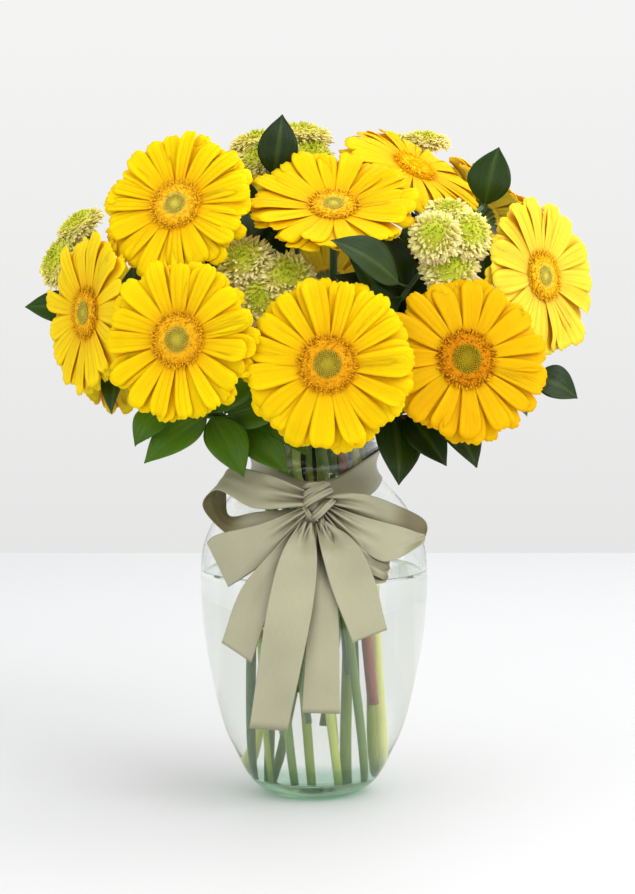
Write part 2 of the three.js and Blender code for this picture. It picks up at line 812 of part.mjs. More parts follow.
// A body whose skin runs from ring to ring and back to the first
function closedRing(rings) {
  const corners = rings[0].length;
  const faces = [];
  const at = (ring, corner) => (ring % rings.length) * corners + (corner % corners);
  for (let ring = 0; ring < rings.length; ring += 1) {
    for (let corner = 0; corner < corners; corner += 1) {
      faces.push(at(ring, corner), at(ring, corner + 1), at(ring + 1, corner + 1));
      faces.push(at(ring, corner), at(ring + 1, corner + 1), at(ring + 1, corner));
    }
  }
  return solid(rings.flat().flatMap((p) => [p.x, p.y, p.z]), faces);
}

// The knot is a lump of folds, wider than deep
function knot() {
  const levels = [-1, -0.55, 0, 0.55, 1];
  const rings = levels.map((level) => Array.from({ length: KNOT_SIDES }, (_, side) => {
    const angle = (side / KNOT_SIDES) * Math.PI * 2;
    const round = Math.abs(level) === 1 ? 0 : Math.sqrt(1 - level * level) * (side % 2 ? 1.04 : 0.92);
    return point(
      KNOT.at[0] + KNOT.halfWidth * round * Math.cos(angle),
      KNOT.at[1] + KNOT.halfDepth * round * Math.sin(angle),
      KNOT.at[2] + KNOT.halfHeight * level,
    );
  }));
  return skin(rings);
}

// Each loop leaves the knot, turns at its end and comes back
const LOOPS = {
  upper_left: {
    front: [
      [-5, -74, 204], [-39, -74, 203], [-64, -66, 214], [-73, -60, 204],
      [-64, -64, 191], [-45, -70, 180], [-14, -75, 191], [-4, -74, 200],
    ],
    back: [
      [-4, -70, 213], [-33, -64, 225], [-57, -52, 226], [-58, -46, 208],
      [-56, -52, 196], [-38, -61, 199], [-9, -70, 203], [-3, -71, 205],
    ],
  },
  lower_left: {
    front: [
      [-5, -74, 204], [-34, -75, 193], [-66, -62, 183],
      [-70, -59, 178], [-36, -72, 190], [-5, -71, 205],
    ],
    back: [
      [-4, -73, 199], [-26, -80, 173], [-52, -68, 153],
      [-56, -65, 150], [-28, -77, 171], [-4, -71, 201],
    ],
  },
  upper_right: {
    front: [
      [6, -72, 211], [30, -67, 212], [55, -57, 203], [74, -45, 191],
      [74, -52, 184], [57, -66, 190], [29, -71, 198], [7, -72, 206],
    ],
    back: [
      [6, -70, 204], [32, -66, 192], [54, -60, 181], [72, -57, 179],
      [70, -66, 178], [46, -75, 168], [26, -76.4, 181], [6, -71, 202],
    ],
  },
  lower_right: {
    front: [
      [6, -72, 203], [28, -75, 185], [42, -70, 172],
      [50, -66, 168], [34, -73, 180], [6, -70, 204],
    ],
    back: [
      [4, -73, 199], [25, -82, 169], [36, -80, 155],
      [47, -76, 155], [26, -82, 168], [4, -71, 200],
    ],
  },
};

function bow() {
  const loops = Object.values(LOOPS).map(({ front, back }) => ribbonStrip(front, back, LOOP_STEPS));
  return join([knot(), ...loops]);
}

// Tails, from the knot down over the shoulder and free below it: left edge, right edge
const TAILS = {
  left: [
    {
      left: [[-8, -76.6, 195], [-26, -85, 177], [-46, -79, 152], [-61, -71, 114]],
      right: [[0, -75.6, 193], [-10, -86, 170], [-26, -86, 145], [-40, -82, 103]],
    },
    {
      left: [[-8, -76.6, 195], [-20, -90, 177], [-28, -92, 150], [-42, -90, 61]],
      right: [[0, -75.6, 193], [2, -90, 172], [0, -92, 145], [-17, -91, 60]],
    },
  ],
  right: [
    {
      left: [[1.5, -76, 193], [1, -86, 170], [-4, -88, 131], [-8, -87, 71]],
      right: [[9, -76, 195], [15, -85, 172], [16, -87, 140], [17, -87, 70]],
    },
    {
      left: [[1.5, -76, 193], [6, -90, 172], [14, -91, 146], [25, -88, 117]],
      right: [[9, -76, 195], [27, -87, 182], [39, -84, 158], [48, -80, 124]],
    },
  ],
};

function addRibbon() {
  const color = '#b8b491';
  addMesh(bouquet, 'ribbon_band', ribbonBand(), color, 0.6);
  addMesh(bouquet, 'ribbon_bow', bow(), color, 0.6);
  for (const [name, pair] of Object.entries(TAILS)) {
    const strips = pair.map(({ left, right }) => ribbonStrip(left, right, TAIL_STEPS));
    addMesh(bouquet, `ribbon_tails_${name}`, join(strips), color, 0.6);
  }
}

GERBERAS.forEach(addGerbera);
BUTTON_SPRAYS.forEach(addButtonSpray);
RUSCUS_SPRAYS.forEach(addRuscus);
addRibbon();
addMesh(bouquet, 'vase', vase(), '#cfe0d6', 0.08);
addMesh(bouquet, 'water', water(holes), '#e6efec', 0.05);

export default bouquet;
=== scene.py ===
import math
import random

import bpy
from mathutils import Matrix, Vector


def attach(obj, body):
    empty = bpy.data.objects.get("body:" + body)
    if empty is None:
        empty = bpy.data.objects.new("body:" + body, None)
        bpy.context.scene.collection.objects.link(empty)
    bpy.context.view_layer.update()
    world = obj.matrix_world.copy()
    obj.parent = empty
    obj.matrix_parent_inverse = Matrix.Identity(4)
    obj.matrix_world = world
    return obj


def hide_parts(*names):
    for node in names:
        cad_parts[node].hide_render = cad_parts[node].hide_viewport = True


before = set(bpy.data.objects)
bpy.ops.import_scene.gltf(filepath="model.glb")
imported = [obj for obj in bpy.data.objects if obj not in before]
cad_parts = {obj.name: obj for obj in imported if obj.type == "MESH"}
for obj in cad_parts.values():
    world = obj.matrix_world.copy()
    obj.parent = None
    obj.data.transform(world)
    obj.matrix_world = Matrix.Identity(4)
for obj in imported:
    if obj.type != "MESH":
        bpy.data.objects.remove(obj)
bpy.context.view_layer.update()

MM = 0.001
UP = Vector((0, 0, 1))
GOLDEN_ANGLE = math.pi * (3 - math.sqrt(5))

# Vase and water
VASE_SIDES = 128
GLASS_WALL = 3.5
WALL_START = 36
LIP_MIDDLE = 248.3
LIP_STEPS = 8
OUTLINE_STEPS = 76
FLOOR_STEPS = 24
WATER_HEIGHT = 153
FLOOR_HEIGHT = 13
ON_FLOOR = 13.3
VASE_OUTLINE = [
    (28, 0), (36.5, 4), (42.5, 9), (47.5, 16), (53, 27), (61.5, 46), (72, 90), (76, 118), (77.5, 150),
    (75, 172), (62, 198), (50.5, 211), (43, 220), (41.5, 226), (46, 238), (54, 250),
]
UNDER_FOOT = [(1, 1.3), (14, 1.3), (22, 0.9), (25.5, 0.1)]
INNER_FLOOR = [(0, 13.6), (30, 13.2), (39.5, 13.4), (44, 18.5)]
WATER_INTO_GLASS = 0.15
CALM_WATER = 0.6
# The top of the water from the wall to the middle: how far in, how high over the water's height
WATER_CLIMB = [(0, 1.2), (-0.6, 0.3), (-2, 0), (-20, 0), (-70, 0)]
# The thick base is greenest at the edge of the foot, and its green fades between two heights
FOOT_EDGE = 6
FLOOR_GREEN = 0.55
DEEP_GLASS = (20, 27)

# Stems. Each ring has its radius in the neck and on the floor.
NECK_HEIGHT = 226
STEM_TWIST = math.radians(45)
STEM_RINGS = {"outer": (32.5, 36.5), "inner": (20.5, 24), "core": (8, 9)}
LIP_REACH = 22
STEM_SIDES = 14
STRAIGHT_STEPS = 8
CURVED_STEPS = {"gerbera": 30, "button": 22, "ruscus": 26}
BEHIND_HEAD = (52, 24)
GERBERA_STEM = 2.7
BUTTON_STEM = 1.9
RUSCUS_STEM = 2.0
RUSCUS_WOODY = 3.2
RUSCUS_TIP = 1.3

# Gerbera heads
HEAD_DIAMETER = 106
PETALS = 46
PETAL_ROOT = 12
PETAL_LENGTH = 41
PETAL_HALF_WIDTH = 6.8
PETAL_THICKNESS = 0.4
PETAL_ROWS = 10
PETAL_COLUMNS = 10
EYE_RADIUS = 9.2
EYE_BUDS = 150
# Rings of open florets round the eye: how far apart rings and florets are, and the radius where
# florets are shortest and where they are longest
RING_STEP = 1.25
FLORET_STEP = 1.55
INNER_RING = 8
LAST_RING = 17.6
EYE_GAP = 0.6
BUD_FOOT = 3.5
FLORET_FOOT = 2.4

# Button chrysanthemum heads
BUTTON_FLORETS = 320

# Ruscus leaves, and the dome that the leaves deep in the bunch stay in
LEAF_THICKNESS = 0.5
LEAF_FOLD = 0.22
LEAF_SAG = 3
LEAF_TIP_SAG = 3.5
LEAF_NET = (22, 10)
INNER_LEAF_NET = (12, 6)
INNER_TRIES = 90
INNER_MOST = 16
DOME_MIDDLE = (0, 8, 322)
DOME_REACH = (158, 104, 106)
LOWEST_LEAF = 257

# Ribbon
RIBBON_WIDTH = 25
RIBBON_THICKNESS = 0.4
RIBBON_COLUMNS = 26
LOOP_STEPS = 72
TAIL_STEPS = 48
PLEATS = 2
MOST_PLEAT = 1.7
BAND_HEIGHT = 21
BAND_MIDDLE = 227
BAND_DIP = 17
BAND_GAP = 0.9
BAND_ROUND = 285
KNOT = {"at": (1, -68, 206), "half_width": 11, "half_depth": 7, "half_height": 12}
KNOT_SIDES = 40

# Camera: where it stands, how far it looks down, and its lens for a frame 36 mm high
CAMERA_AT = (2.4, -1500, 350)
CAMERA_TILT = math.radians(4.3)
CAMERA_LENS = 88.83
TABLE_EDGE = 1330

# Light: the wall as it is seen, the light that the room gives, and soft boxes over and beside the
# camera (place, size, power, what they aim at, in metres)
WALL_LOW = 0.79
WALL_HIGH = 0.91
WALL_COLOR = (1.0, 1.0, 0.995, 1)
ROOM_COLOR = (0.98, 0.99, 1.0, 1)
ROOM_LIGHT = 0.93
GLOSS_LIGHT = 0.2
SOFT_BOXES = {
    "key": ((1.2, -1.3, 1.6), (1.3, 1.3), 24, (0, 0, 0.28)),
    "top": ((0.5, 0.4, 1.9), (1.4, 1.0), 8, (0, 0, 0.28)),
    "fill": ((-1.4, -1.6, 1.0), (2.0, 1.7), 14, (0, 0, 0.28)),
    "side": ((1.8, -0.1, 0.7), (1.2, 1.0), 6.5, (0.2, 0, 0.15)),
    "back": ((0.3, 1.4, 1.5), (2.4, 0.7), 4, (0.1, 1.2, 0)),
}


def between(start, end, share):
    return start + (end - start) * share


def smooth(value, low, high):
    share = min(max((value - low) / (high - low), 0), 1)
    return share * share * (3 - 2 * share)


def bell(value, middle, width):
    return math.exp(-((value - middle) / width) ** 2)


# Places and curves
def turns(count, start=0):
    return [math.tau * k / count + start for k in range(count)]


def spot(radius, angle, height):
    return Vector((radius * math.cos(angle), radius * math.sin(angle), height))


def circle(radius, height, sides, start=0):
    return [spot(radius, turn, height) for turn in turns(sides, start)]


def compass(angle):
    """The way out from the middle at an angle, and the way to the side of it"""
    return spot(1, angle, 0), spot(1, angle + math.pi / 2, 0)


def frames(places, side):
    """Each place along a way, with two directions square to the way there"""
    for i, place in enumerate(places):
        along = (places[min(i + 1, len(places) - 1)] - places[max(i - 1, 0)]).normalized()
        side = (side - along * side.dot(along)).normalized()
        yield place, side, along.cross(side)


def curve_at(points, share):
    """A place on the smooth curve through points, at a share of the way from point to point"""
    spans = len(points) - 1
    span = min(int(share * spans), spans - 1)
    weight = share * spans - span
    p1, p2 = points[span], points[span + 1]
    p0 = points[span - 1] if span else p1 * 2 - p2
    p3 = points[span + 2] if span + 2 <= spans else p2 * 2 - p1
    d0, d1, d2 = (max((b - a).length, 1e-3) ** 0.5 for a, b in ((p0, p1), (p1, p2), (p2, p3)))
    start = ((p1 - p0) / d0 - (p2 - p0) / (d0 + d1) + (p2 - p1) / d1) * d1
    end = ((p2 - p1) / d1 - (p3 - p1) / (d1 + d2) + (p3 - p2) / d2) * d1
    square, cube = weight * weight, weight ** 3
    return (p1 + start * weight + (p2 * 3 - p1 * 3 - start * 2 - end) * square
            + (p1 * 2 - p2 * 2 + start + end) * cube)


def curve(points, steps):
    vectors = [Vector(p) for p in points]
    return [curve_at(vectors, i / steps) for i in range(steps + 1)]


def even_curve(points, steps):
    """The same curve in steps of even length"""
    fine = curve(points, steps * 8)
    reach = [0.0]
    for a, b in zip(fine, fine[1:]):
        reach.append(reach[-1] + (b - a).length)
    places = []
    at = 0
    for i in range(steps + 1):
        goal = reach[-1] * i / steps
        while at < len(fine) - 2 and reach[at + 1] < goal:
            at += 1
        share = (goal - reach[at]) / max(reach[at + 1] - reach[at], 1e-9)
        places.append(fine[at].lerp(fine[at + 1], share))
    return places


def profile(stations, share):
    """A value on the smooth curve through stations of (share, value)"""
    last = len(stations) - 1
    span = next((k for k in range(last) if share <= stations[k + 1][0]), last - 1)
    (s0, v0), (s1, v1) = stations[span], stations[span + 1]
    before, after = stations[max(span - 1, 0)], stations[min(span + 2, last)]
    start = (v1 - before[1]) / (s1 - before[0]) * (s1 - s0)
    end = (after[1] - v0) / (after[0] - s0) * (s1 - s0)
    t = (share - s0) / (s1 - s0)
    return (v0 * (1 + 2 * t) * (1 - t) ** 2 + start * t * (1 - t) ** 2
            + v1 * t * t * (3 - 2 * t) - end * t * t * (1 - t))


# Meshes
def link(name, data):
    made = bpy.data.objects.new(name, data)
    bpy.context.scene.collection.objects.link(made)
    return made


class Shell:
    """The corners and faces of one piece, in millimetres, with marks that its material reads. Corners are
    given as they lie before the shell's pose places them. The pose can change from one form to the next."""

    def __init__(self, *marks, pose=None):
        self.points = []
        self.faces = []
        self.marks = {name: [] for name in marks}
        self.pose = pose or Matrix()

    def grid(self, rows, marks, closed=False, flip=False):
        """A net of faces over rows of corners. marks(i, j) gives the marks of a corner."""
        first = len(self.points)
        wide = len(rows[0])
        for i, row in enumerate(rows):
            for j, point in enumerate(row):
                self.points.append(self.pose @ point)
                found = marks(i, j)
                for name, values in self.marks.items():
                    values.append(found.get(name, 0.0))
        for i in range(len(rows) - 1):
            for j in range(wide if closed else wide - 1):
                k = (j + 1) % wide
                face = [i * wide + j, i * wide + k, (i + 1) * wide + k, (i + 1) * wide + j]
                self.faces.append([first + c for c in (face[::-1] if flip else face)])
        return first

    def body(self, rings, marks):
        """A closed body over rings of corners, with a flat face at both ends"""
        first = self.grid(rings, marks, closed=True)
        wide = len(rings[0])
        last = len(self.points) - wide
        self.faces.append(list(range(first, first + wide))[::-1])
        self.faces.append(list(range(last, last + wide)))

    def tube(self, stations, sides, marks):
        """A closed tube along stations of (place, radius)"""
        ways = frames([place for place, _ in stations], Vector((1, 0.13, 0.07)))
        rings = []
        for (_, radius), (place, side, other) in zip(stations, ways):
            rings.append([place + (side * math.cos(t) + other * math.sin(t)) * radius for t in turns(sides)])
        self.body(rings, marks)

    def blade(self, rows, thickness, marks):
        """A thin closed sheet over rows of corners"""
        up, wide = len(rows), len(rows[0])
        top, bottom = [], []
        for i, row in enumerate(rows):
            above, below = rows[max(i - 1, 0)], rows[min(i + 1, up - 1)]
            halves = []
            for j in range(wide):
                side = row[min(j + 1, wide - 1)] - row[max(j - 1, 0)]
                normal = side.cross(below[j] - above[j])
                normal = normal.normalized() if normal.length > 1e-9 else UP
                halves.append(normal * (thickness / 2))
            top.append([point + half for point, half in zip(row, halves)])
            bottom.append([point - half for point, half in zip(row, halves)])
        a = self.grid(top, lambda i, j: {**marks(i, j), "side": 0.0})
        b = self.grid(bottom, lambda i, j: {**marks(i, j), "side": 1.0}, flip=True)
        rim = [(0, j) for j in range(wide)]
        rim += [(i, wide - 1) for i in range(1, up)]
        rim += [(up - 1, j) for j in range(wide - 2, -1, -1)]
        rim += [(i, 0) for i in range(up - 2, 0, -1)]
        for (i, j), (k, m) in zip(rim, rim[1:] + rim[:1]):
            here, there = i * wide + j, k * wide + m
            self.faces.append([a + there, a + here, b + here, b + there])

    def leaflet(self, rows, columns, thickness, corner):
        """A thin sheet. corner(t, u) gives its place and marks at t along it and u (-1 to 1) across it."""
        net = [[corner(i / rows, 2 * j / columns - 1) for j in range(columns + 1)] for i in range(rows + 1)]
        self.blade([[place for place, _ in row] for row in net], thickness, lambda i, j: net[i][j][1])

    def make(self, name, material, node):
        mesh = bpy.data.meshes.new(name)
        mesh.from_pydata([tuple(p * MM) for p in self.points], [], self.faces)
        for mark, values in self.marks.items():
            mesh.attributes.new(mark, "FLOAT", "POINT").data.foreach_set("value", values)
        mesh.polygons.foreach_set("use_smooth", [True] * len(mesh.polygons))
        mesh.validate()
        mesh.update()
        mesh.materials.append(material)
        piece = link(name, mesh)
        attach(piece, "root")
        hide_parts(node)
        return piece


# Materials
class Nodes:
    """A node tree, with short names for the nodes used here"""

    def __init__(self, tree):
        self.tree = tree

    def node(self, kind, **values):
        made = self.tree.nodes.new(kind)
        for key, value in values.items():
            setattr(made, key, value)
        return made

    def put(self, socket, value):
        if isinstance(value, bpy.types.NodeSocket):
            self.tree.links.new(value, socket)
        else:
            socket.default_value = value

    def fill(self, made, *values):
        """Puts values into a node's first sockets, and gives its first output"""
        for socket, value in zip(made.inputs, values):
            self.put(socket, value)
        return made.outputs[0]

    def math(self, operation, *values, clamp=False):
        return self.fill(self.node("ShaderNodeMath", operation=operation, use_clamp=clamp), *values)

    def line(self, factor, scale, offset=0.0, clamp=False):
        """The factor times the scale, plus the offset"""
        return self.math("MULTIPLY_ADD", factor, scale, offset, clamp=clamp)

    def place(self, x, y, z=0.0):
        return self.fill(self.node("ShaderNodeCombineXYZ"), x, y, z)

    def blend(self, factor, first, second):
        return self.fill(self.node("ShaderNodeMixShader"), factor, first, second)

    def fade(self, value, low, high, dark, light):
        """From dark to light as value goes from low to high"""
        return self.fill(self.node("ShaderNodeMapRange"), value, low, high, dark, light)


class Paint(Nodes):
    """A material, with the nodes that colour it"""

    def __init__(self, name, **sockets):
        self.material = bpy.data.materials.new(name)
        self.material.use_nodes = True
        super().__init__(self.material.node_tree)
        self.shader = self.tree.nodes["Principled BSDF"]
        for socket, value in sockets.items():
            self.shader.inputs[socket.replace("_", " ")].default_value = value

    def mark(self, name):
        return self.node("ShaderNodeAttribute", attribute_name=name).outputs["Fac"]

    def marks(self, *names):
        return [self.mark(name) for name in names]

    def ramp(self, factor, stops):
        made = self.node("ShaderNodeValToRGB")
        elements = made.color_ramp.elements
        while len(elements) < len(stops):
            elements.new(0.5)
        for element, (place, color) in zip(elements, stops):
            element.position = place
            element.color = (*color, 1)
        return self.fill(made, factor)

    def mix(self, factor, first, second, blend="MIX"):
        """From first to second as factor goes from 0 to 1"""
        made = self.node("ShaderNodeMix", data_type="RGBA", blend_type=blend)
        self.put(made.inputs["Factor"], factor)
        for socket, value in ((made.inputs[6], first), (made.inputs[7], second)):
            self.put(socket, (*value, 1) if isinstance(value, tuple) else value)
        return made.outputs[2]

    def noise(self, scale, place=None, detail=3.0):
        made = self.node("ShaderNodeTexNoise")
        made.inputs["Scale"].default_value = scale
        made.inputs["Detail"].default_value = detail
        if place is None:
            place = self.node("ShaderNodeTexCoord").outputs["Object"]
        self.put(made.inputs["Vector"], place)
        return made.outputs["Fac"]

    def grain(self, detail, scale, *stretched):
        """Noise drawn out over marks, each with how often it repeats"""
        scaled = [self.math("MULTIPLY", mark, times) for mark, times in stretched]
        return self.noise(scale, self.place(*scaled), detail)

    def gain(self, color, factor, low, high):
        """The colour made darker or lighter, from low to high as factor goes from 0 to 1"""
        level = self.line(factor, high - low, low)
        return self.mix(1.0, color, self.place(level, level, level), "MULTIPLY")

    def painted_crease_shade(self, color, distance, dark, strength):
        """Painted shade: the colour turned towards dark where other surfaces are near, in creases and gaps"""
        near = self.node("ShaderNodeAmbientOcclusion", samples=6)
        near.inputs["Distance"].default_value = distance
        return self.mix(self.line(near.outputs["AO"], -strength, strength), color, dark)

    def bump(self, height, strength, distance):
        made = self.node("ShaderNodeBump")
        made.inputs["Strength"].default_value = strength
        made.inputs["Distance"].default_value = distance
        self.put(made.inputs["Height"], height)
        self.put(self.shader.inputs["Normal"], made.outputs["Normal"])

    def color(self, value):
        """Sets the colour and gives the finished material"""
        self.put(self.shader.inputs["Base Color"], value)
        return self.material


def petal_paint():
    paint = Paint(
        "petal", Roughness=0.6, Specular_IOR_Level=0.04, Subsurface_Weight=0.4, Subsurface_Scale=0.003,
        Subsurface_Radius=(1.0, 0.65, 0.05),
    )
    along, across, tint = paint.marks("along", "across", "tint")
    shade, side, groove_and_shade = paint.marks("shade", "side", "groove_and_shade")
    streak = paint.grain(5.0, 2.6, (across, 6.0), (along, 0.8), (tint, 40.0))
    fine = paint.grain(6.0, 7.0, (across, 6.0), (along, 0.8), (tint, 40.0))
    base = paint.ramp(along, [
        (0.0, (0.98, 0.36, 0.004)),
        (0.2, (1.0, 0.5, 0.002)),
        (0.45, (1.0, 0.6, 0.001)),
        (1.0, (1.0, 0.66, 0.001)),
    ])
    base = paint.mix(shade, base, (1.0, 0.78, 0.11))
    base = paint.mix(paint.line(shade, -1.0), base, (0.86, 0.43, 0.001))
    # Undersides paler: partly their own paler colour, partly painted light that lifts them out of the shade
    # they lie in
    base = paint.mix(paint.line(side, -0.5, 0.5), base, (1.0, 0.76, 0.06))
    base = paint.gain(base, streak, 0.8, 1.16)
    base = paint.gain(base, fine, 0.86, 1.14)
    base = paint.gain(base, paint.noise(70.0), 0.93, 1.06)
    base = paint.gain(base, tint, 0.93, 1.04)
    # Painted shade: darker orange along the grooves and the edges of each petal
    base = paint.mix(paint.line(groove_and_shade, 0.5), base, (0.8, 0.33, 0.001))
    paint.bump(streak, 0.4, 0.0006)
    # Painted shade: the petals turn dark orange where other petals and the disc lie close
    return paint.color(paint.painted_crease_shade(base, 0.006, (0.62, 0.22, 0.001), 0.85))


def disc_paint():
    """The shade mark tells how far the disc has opened, and is below 0 on one that is still shut"""
    paint = Paint("disc", Roughness=0.8, Specular_IOR_Level=0.02)
    ring, along, tint, shade = paint.marks("ring", "along", "tint", "shade")
    florets = paint.ramp(tint, [
        (0.0, (0.22, 0.06, 0.003)),
        (0.25, (0.5, 0.17, 0.004)),
        (0.6, (0.72, 0.3, 0.005)),
        (1.0, (0.9, 0.47, 0.01)),
    ])
    florets = paint.mix(paint.line(shade, -0.85, 0.85), florets, (0.98, 0.56, 0.016))
    open_eye = paint.ramp(tint, [
        (0.0, (0.18, 0.13, 0.004)), (0.5, (0.27, 0.2, 0.007)), (1.0, (0.35, 0.28, 0.018)),
    ])
    young_eye = paint.ramp(tint, [
        (0.0, (0.36, 0.31, 0.025)), (0.5, (0.5, 0.44, 0.05)), (1.0, (0.62, 0.55, 0.1)),
    ])
    closed = paint.line(shade, -2.0, clamp=True)
    eye = paint.mix(closed, paint.mix(shade, young_eye, open_eye), (0.95, 0.42, 0.005))
    color = paint.mix(ring, eye, florets)
    color = paint.mix(paint.line(closed, 0.8), color, (1.0, 0.52, 0.003))
    color = paint.gain(color, along, 0.78, 1.16)
    color = paint.gain(color, paint.noise(900.0), 0.85, 1.12)
    # Painted shade: dark brown deep between the florets
    return paint.color(paint.painted_crease_shade(color, 0.0025, (0.25, 0.07, 0.002), 0.7))


def stem_paint(name, shades):
    """Shades go from the darkest stem to the palest. A stem keeps its own low down, and is darker above."""
    paint = Paint(
        name, Roughness=0.5, Specular_IOR_Level=0.4, Subsurface_Weight=0.05, Subsurface_Scale=0.002,
        Sheen_Weight=0.25,
    )
    along, around, tint = paint.marks("along", "around", "tint")
    streak = paint.grain(4.0, 4.0, (around, 6.0), (along, 5.0), (tint, 30.0))
    # Painted shade: above the neck each stem is darker, for the shade in the crowded neck and among the heads
    low = paint.line(along, -5.0, 2.0, clamp=True)
    color = paint.ramp(paint.math("MULTIPLY", tint, paint.line(low, 0.75, 0.25)), shades)
    color = paint.gain(color, streak, 0.75, 1.3)
    paint.bump(streak, 0.4, 0.0005)
    return paint.color(paint.gain(color, paint.noise(60.0), 0.85, 1.12))


def floret_paint():
    paint = Paint(
        "button_florets", Roughness=0.7, Specular_IOR_Level=0.15, Subsurface_Weight=0.35,
        Subsurface_Scale=0.0015,
    )
    ring, along, tint = paint.marks("ring", "along", "tint")
    color = paint.ramp(ring, [
        (0.0, (0.33, 0.46, 0.012)),
        (0.25, (0.56, 0.64, 0.03)),
        (0.42, (0.74, 0.72, 0.11)),
        (0.62, (0.85, 0.75, 0.25)),
        (1.0, (0.88, 0.73, 0.36)),
    ])
    color = paint.gain(color, along, 0.8, 1.14)
    color = paint.gain(color, tint, 0.86, 1.12)
    # Painted shade: a little darker where the florets crowd together
    color = paint.painted_crease_shade(color, 0.006, (0.45, 0.38, 0.05), 0.3)
    return paint.color(paint.gain(color, paint.noise(500.0), 0.9, 1.08))


def leaf_paint():
    paint = Paint("ruscus_leaf", Roughness=0.28, Specular_IOR_Level=0.32)
    along, across, tint, side, rib = paint.marks("along", "across", "tint", "side", "rib")
    vein = paint.grain(5.0, 2.2, (across, 9.0), (along, 0.8), (tint, 25.0))
    color = paint.ramp(tint, [
        (0.0, (0.008, 0.019, 0.001)),
        (0.5, (0.018, 0.056, 0.0015)),
        (1.0, (0.055, 0.138, 0.003)),
    ])
    color = paint.gain(color, vein, 0.4, 1.75)
    color = paint.gain(color, paint.noise(55.0), 0.8, 1.2)
    color = paint.mix(paint.line(rib, 0.25), color, (0.13, 0.2, 0.03))
    paint.bump(vein, 0.7, 0.0009)
    return paint.color(paint.mix(paint.line(side, 0.5), color, (0.08, 0.12, 0.04)))


def ribbon_paint():
    """Fine ribs across the ribbon and finer threads along it, 0.7 mm and 0.4 mm apart"""
    paint = Paint(
        "ribbon_cloth", Roughness=0.4, Specular_IOR_Level=0.5, Sheen_Weight=0.25, Sheen_Roughness=0.35,
        Anisotropic=0.5,
    )
    along, across, edge, side, curl = paint.marks("along", "across", "edge", "side", "curl")
    ribs = paint.math("SINE", paint.line(along, math.tau / 0.7))
    warp = paint.math("SINE", paint.line(across, math.tau / 0.4))
    weave = paint.line(ribs, 0.5, paint.line(warp, 0.2))
    fuzz = paint.grain(3.0, 1.0, (across, 2.0), (along, 0.15))
    color = paint.mix(fuzz, (0.34, 0.328, 0.205), (0.405, 0.39, 0.258))
    color = paint.gain(color, weave, 1.0, 1.06)
    selvage = paint.math("GREATER_THAN", edge, 0.93)
    color = paint.mix(paint.line(selvage, 0.12), color, (0.5, 0.48, 0.34))
    # Broad lighter and darker patches over the cloth: painted satin sheen and shade
    color = paint.gain(color, paint.noise(28.0, detail=1.0), 0.84, 1.14)
    # Painted shade: the face inside a loop's turn is turned dark brown
    inside = paint.math("MULTIPLY", curl, paint.line(side, 2.0, -1.0))
    color = paint.mix(paint.line(inside, 0.9), color, (0.14, 0.11, 0.035))
    paint.bump(weave, 0.2, 0.0002)
    # Painted shade: dark in the gaps and creases between the loops, tails and knot
    return paint.color(paint.painted_crease_shade(color, 0.011, (0.06, 0.045, 0.014), 1.25))


def clear_paint(name, ior, absorb, density, deep_color=None):
    """Clear glass or water. Light for dull surfaces goes straight through it, so what it holds is lit. The
    calm mark is the share of it that bends nothing, and the deep mark turns it to the deep colour."""
    paint = Paint(name, Roughness=0.0, IOR=ior, Transmission_Weight=1.0, Base_Color=(1, 1, 1, 1))
    straight = paint.node("ShaderNodeBsdfTransparent")
    straight.inputs["Color"].default_value = (1, 1, 1, 1)
    if deep_color:
        color = paint.mix(paint.mark("deep"), (1.0, 1.0, 1.0), deep_color)
        paint.color(color)
        paint.put(straight.inputs["Color"], color)
    path = paint.node("ShaderNodeLightPath").outputs
    through = paint.math("MAXIMUM", path["Is Shadow Ray"], path["Is Diffuse Ray"])
    through = paint.math("MAXIMUM", through, paint.mark("calm"))
    through = paint.math("MAXIMUM", through, paint.math("GREATER_THAN", path["Ray Depth"], 6.5))
    output = paint.tree.nodes["Material Output"]
    seen = paint.blend(through, paint.shader.outputs[0], straight.outputs[0])
    paint.put(output.inputs["Surface"], seen)
    volume = paint.node("ShaderNodeVolumeAbsorption")
    volume.inputs["Color"].default_value = (*absorb, 1)
    volume.inputs["Density"].default_value = density
    paint.put(output.inputs["Volume"], volume.outputs[0])
    return paint.material


def floor_paint():
    paint = Paint("floor", Roughness=0.6, Specular_IOR_Level=0.2)
    return paint.color(paint.mix(paint.noise(3.0), (0.675, 0.675, 0.68), (0.695, 0.695, 0.695)))


PETAL = petal_paint()
DISC = disc_paint()
GREEN_STEM = stem_paint("green_stem", [
    (0.0, (0.045, 0.11, 0.03)), (0.35, (0.13, 0.22, 0.04)), (0.7, (0.3, 0.38, 0.05)), (1.0, (0.6, 0.62, 0.2)),
])
WOODY_STEM = stem_paint("woody_stem", [(0.0, (0.2, 0.06, 0.03)), (1.0, (0.34, 0.13, 0.07))])
FLORET = floret_paint()
LEAF = leaf_paint()
RIBBON = ribbon_paint()
GLASS = clear_paint("vase_glass", 1.5, (0.5, 0.66, 0.48), 22.0, (0.5, 0.72, 0.6))
WATER = clear_paint("water", 1.33, (0.86, 0.9, 0.8), 0.8)


# Vase and water
OUTSIDE = even_curve([(r, 0, z) for r, z in VASE_OUTLINE], OUTLINE_STEPS)


def vase_radius(height):
    for low, high in zip(OUTSIDE, OUTSIDE[1:]):
        if low.z <= height <= high.z:
            return between(low.x, high.x, (height - low.z) / max(high.z - low.z, 1e-6))
    return OUTSIDE[-1].x


def inside_outline():
    wall = [Vector((p.x - GLASS_WALL, 0, p.z)) for p in OUTSIDE if p.z > WALL_START]
    floor = even_curve([(r, 0, z) for r, z in INNER_FLOOR] + [wall[0]], FLOOR_STEPS)
    return floor[:-1] + wall


def lathe(shell, outline, marks):
    """A body turned about the middle from an outline that starts and ends near it"""
    shell.body([circle(radius, height, VASE_SIDES) for radius, height in outline], marks)


